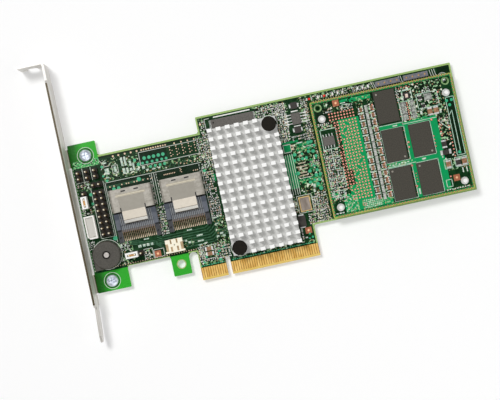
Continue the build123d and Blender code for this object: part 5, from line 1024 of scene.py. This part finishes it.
MODULE_POINTS = [(104.9, 53.0, 0.65), (107.0, 53.0, 0.65), (105.8, 51.0, 0.65), (105.8, 30.6, 0.65)]
CHIP_CORNERS = {(79.8, 55.8): (-1, 1), (79.8, 39.2): (1, -1), (91.5, 39.2): (1, -1), (79.8, 22.6): (-1, 1),
                (91.5, 22.6): (-1, 1)}


class CARD_OT_module_detail(bpy.types.Operator):
    """Vias, pads and outlines on the memory module, and the light dots of its chips"""
    bl_idname = "card.module_detail"
    bl_label = "Memory module detail"

    def execute(self, context):
        c = colours()
        shadow = finish("module_clearance", shade(c.mask_deep, 0.5), shade(c.mask, 0.9), 900, (1, 1, 1),
                        (0.3, 0.45), bump=0.05, specular=0.12)
        bare = [(x, y, r + 0.14) for x, y, r in MODULE_VIAS if y > 54.8 or x < 57 or x > 67]
        dots("module_via_clearances", bare, MODULE_FACE, MODULE_FACE + 0.01, 0.3, shadow)
        via = finish("module_via", shade(c.module_via, 0.85), shade(c.module_via, 1.15), 1800, (1, 1, 1),
                     (0.3, 0.5), metal=0.1, bump=0.1)
        dots("module_vias", MODULE_VIAS, MODULE_FACE, MODULE_FACE + 0.02, 0.3, via)
        ink = finish("module_ink", paint(142, 190, 166), paint(206, 222, 206), 900, (1, 1, 1), (0.55, 0.7),
                     bump=0.1, specular=0.2)
        lines("module_print", MODULE_PRINT, MODULE_FACE, MODULE_FACE + 0.02, 0.3, ink)
        pad = finish("module_pad", paint(170, 196, 178), paint(232, 236, 226), 1300, (1, 1, 1), (0.3, 0.5),
                     metal=0.1, bump=0.15)
        plates("module_pads", MODULE_PADS, MODULE_FACE, 0.03, pad, 0.01)
        point = finish("module_point", shade(c.test_point, 0.8), shade(c.test_point, 1.1), 1200, (1, 1, 1),
                       (0.3, 0.4), bump=0.1)
        dots("module_points", MODULE_POINTS, MODULE_FACE, MODULE_FACE + 0.03, 0.6, point, 14)
        hole = finish("hole_rim", paint(84, 128, 70), paint(150, 184, 124), 900, (1, 1, 1), (0.3, 0.45), bump=0.1)
        rims = [ring(x, 61.3, MODULE_FACE, MODULE_FACE + 0.02, 1.7, 1.1, 28) for x in (50.8, 106.0)]
        joined("plated_hole_rims", rims, hole)
        tooling = finish("tooling_ring", paint(150, 112, 80), paint(204, 164, 128), 900, (1, 1, 1), (0.3, 0.45),
                         bump=0.1)
        joined("tooling_point_ring", [ring(61.8, 17.4, MODULE_FACE, MODULE_FACE + 0.03, 0.85, 0.45, 20)],
               tooling)
        self.chip_marks()
        return {"FINISHED"}

    def chip_marks(self):
        """A light dot in one corner of each memory chip."""
        light = finish("moulded_dot", paint(128, 122, 112), paint(164, 158, 146), 1500, (1, 1, 1), (0.6, 0.75),
                       bump=0.1)
        marks = []
        for number in range(1, 6):
            low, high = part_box(f"memory_chip_{number}")
            middle = Vector(((low[0] + high[0]) / 2, (low[1] + high[1]) / 2)) / MM
            side, end = CHIP_CORNERS[min(CHIP_CORNERS, key=lambda spot: (middle - Vector(spot)).length)]
            x = (low[0] if side < 0 else high[0]) / MM - side * 1.3
            y = (low[1] if end < 0 else high[1]) / MM - end * 1.3
            marks.append(disc(x, y, high[2] / MM, high[2] / MM + 0.01, 0.42, 14))
        joined("memory_chip_dots", marks, light)


class CARD_OT_stage(bpy.types.Operator):
    """Pale floor, soft lamps and the camera straight above the card"""
    bl_idname = "card.stage"
    bl_label = "Stage"

    def execute(self, context):
        scene = context.scene
        scene.view_settings.view_transform = "Standard"
        deselect()
        bpy.ops.mesh.primitive_plane_add(size=6, location=(0, 0, FLOOR * MM))
        floor = context.object
        settle()
        floor.name = "floor"
        floor.data.materials.append(floor_finish())
        world = scene.world or bpy.data.worlds.new("studio")
        scene.world = world
        world.use_nodes = True
        background = world.node_tree.nodes["Background"]
        background.inputs["Color"].default_value = (1, 1, 1, 1)
        background.inputs["Strength"].default_value = 0.22
        add_lamp("key_lamp", (-0.3, 0.28, 1.0), 0.2, 5.3)
        add_lamp("side_fill", (0.9, -0.1, 0.5), 0.6, 2.6, False)
        add_lamp("top_fill", (0.35, -0.6, 1.0), 0.6, 3.8, False)
        add_camera(scene)
        return {"FINISHED"}


def floor_finish():
    """White floor that shows as pure white where no shadow falls."""
    material = bpy.data.materials.new("white_floor")
    material.use_nodes = True
    tree = material.node_tree
    shader = tree.nodes["Principled BSDF"]
    shader.inputs["Base Color"].default_value = (0.88, 0.88, 0.88, 1)
    shader.inputs["Roughness"].default_value = 0.9
    shader.inputs["Specular IOR Level"].default_value = 0.0
    path = add_node(tree, "ShaderNodeLightPath").outputs
    glossy = add_node(tree, "ShaderNodeMath", {"operation": "MAXIMUM"},
                      links={0: path["Is Camera Ray"], 1: path["Is Glossy Ray"]})
    seen = add_node(tree, "ShaderNodeMath", {"operation": "MAXIMUM"},
                    links={0: glossy.outputs["Value"], 1: path["Is Transmission Ray"]})
    glow = add_node(tree, "ShaderNodeEmission", values={"Color": (1, 1, 1, 1), "Strength": 0.16})
    both = add_node(tree, "ShaderNodeAddShader", links={0: shader.outputs["BSDF"], 1: glow.outputs["Emission"]})
    choose = add_node(tree, "ShaderNodeMixShader",
                      links={0: seen.outputs["Value"], 1: shader.outputs["BSDF"], 2: both.outputs["Shader"]})
    tree.links.new(choose.outputs["Shader"], tree.nodes["Material Output"].inputs["Surface"])
    return material


def add_lamp(name, offset, size, power, shadow=True):
    """A square lamp aimed at the middle of the picture; its offset runs right, up and off the floor."""
    right = Vector((math.cos(CARD_TURN), -math.sin(CARD_TURN), 0))
    up = Vector((math.sin(CARD_TURN), math.cos(CARD_TURN), 0))
    target = Vector((CAMERA_POINT[0] * MM, CAMERA_POINT[1] * MM, 0))
    lamp = bpy.data.lights.new(name, "AREA")
    lamp.size = size
    lamp.energy = power
    lamp.use_shadow = shadow
    lamp_object = bpy.data.objects.new(name, lamp)
    lamp_object.location = target + right * offset[0] + up * offset[1] + Vector((0, 0, offset[2]))
    lamp_object.rotation_euler = (target - lamp_object.location).to_track_quat("-Z", "Y").to_euler()
    bpy.context.collection.objects.link(lamp_object)


def add_camera(scene):
    camera = bpy.data.cameras.new("camera")
    camera.lens = sizes().lens
    camera.sensor_width = 36.0
    camera.clip_start = 0.01
    camera.clip_end = 20.0
    camera_object = bpy.data.objects.new("camera", camera)
    camera_object.location = (CAMERA_POINT[0] * MM, CAMERA_POINT[1] * MM, sizes().camera_height)
    camera_object.rotation_euler = (0, 0, -CARD_TURN)
    scene.collection.objects.link(camera_object)
    scene.camera = camera_object


OPERATORS = (CARD_OT_board_finish, CARD_OT_metal_finish, CARD_OT_moulded_finish, CARD_OT_board_print,
             CARD_OT_board_copper, CARD_OT_larger_parts, CARD_OT_small_parts, CARD_OT_module_detail, CARD_OT_stage)


class CARD_PT_panel(bpy.types.Panel):
    """Steps that dress the card, in order"""
    bl_idname = "CARD_PT_panel"
    bl_label = "Storage controller card"
    bl_space_type = "VIEW_3D"
    bl_region_type = "UI"
    bl_category = "Card"

    def draw(self, context):
        for operator in OPERATORS:
            self.layout.operator(operator.bl_idname)
        for group in (context.scene.card_colours, context.scene.card_sizes):
            for name in group.bl_rna.properties.keys():
                if name not in ("rna_type", "name"):
                    self.layout.prop(group, name)


CLASSES = (CardColours, CardSizes, *OPERATORS, CARD_PT_panel)


def register():
    for item in CLASSES:
        bpy.utils.register_class(item)
    bpy.types.Scene.card_colours = PointerProperty(type=CardColours)
    bpy.types.Scene.card_sizes = PointerProperty(type=CardSizes)


def unregister():
    del bpy.types.Scene.card_sizes
    del bpy.types.Scene.card_colours
    for item in reversed(CLASSES):
        bpy.utils.unregister_class(item)


def main():
    register()
    for operator in OPERATORS:
        getattr(bpy.ops.card, operator.bl_idname.split(".")[1])()


if __name__ == "__main__":
    main()
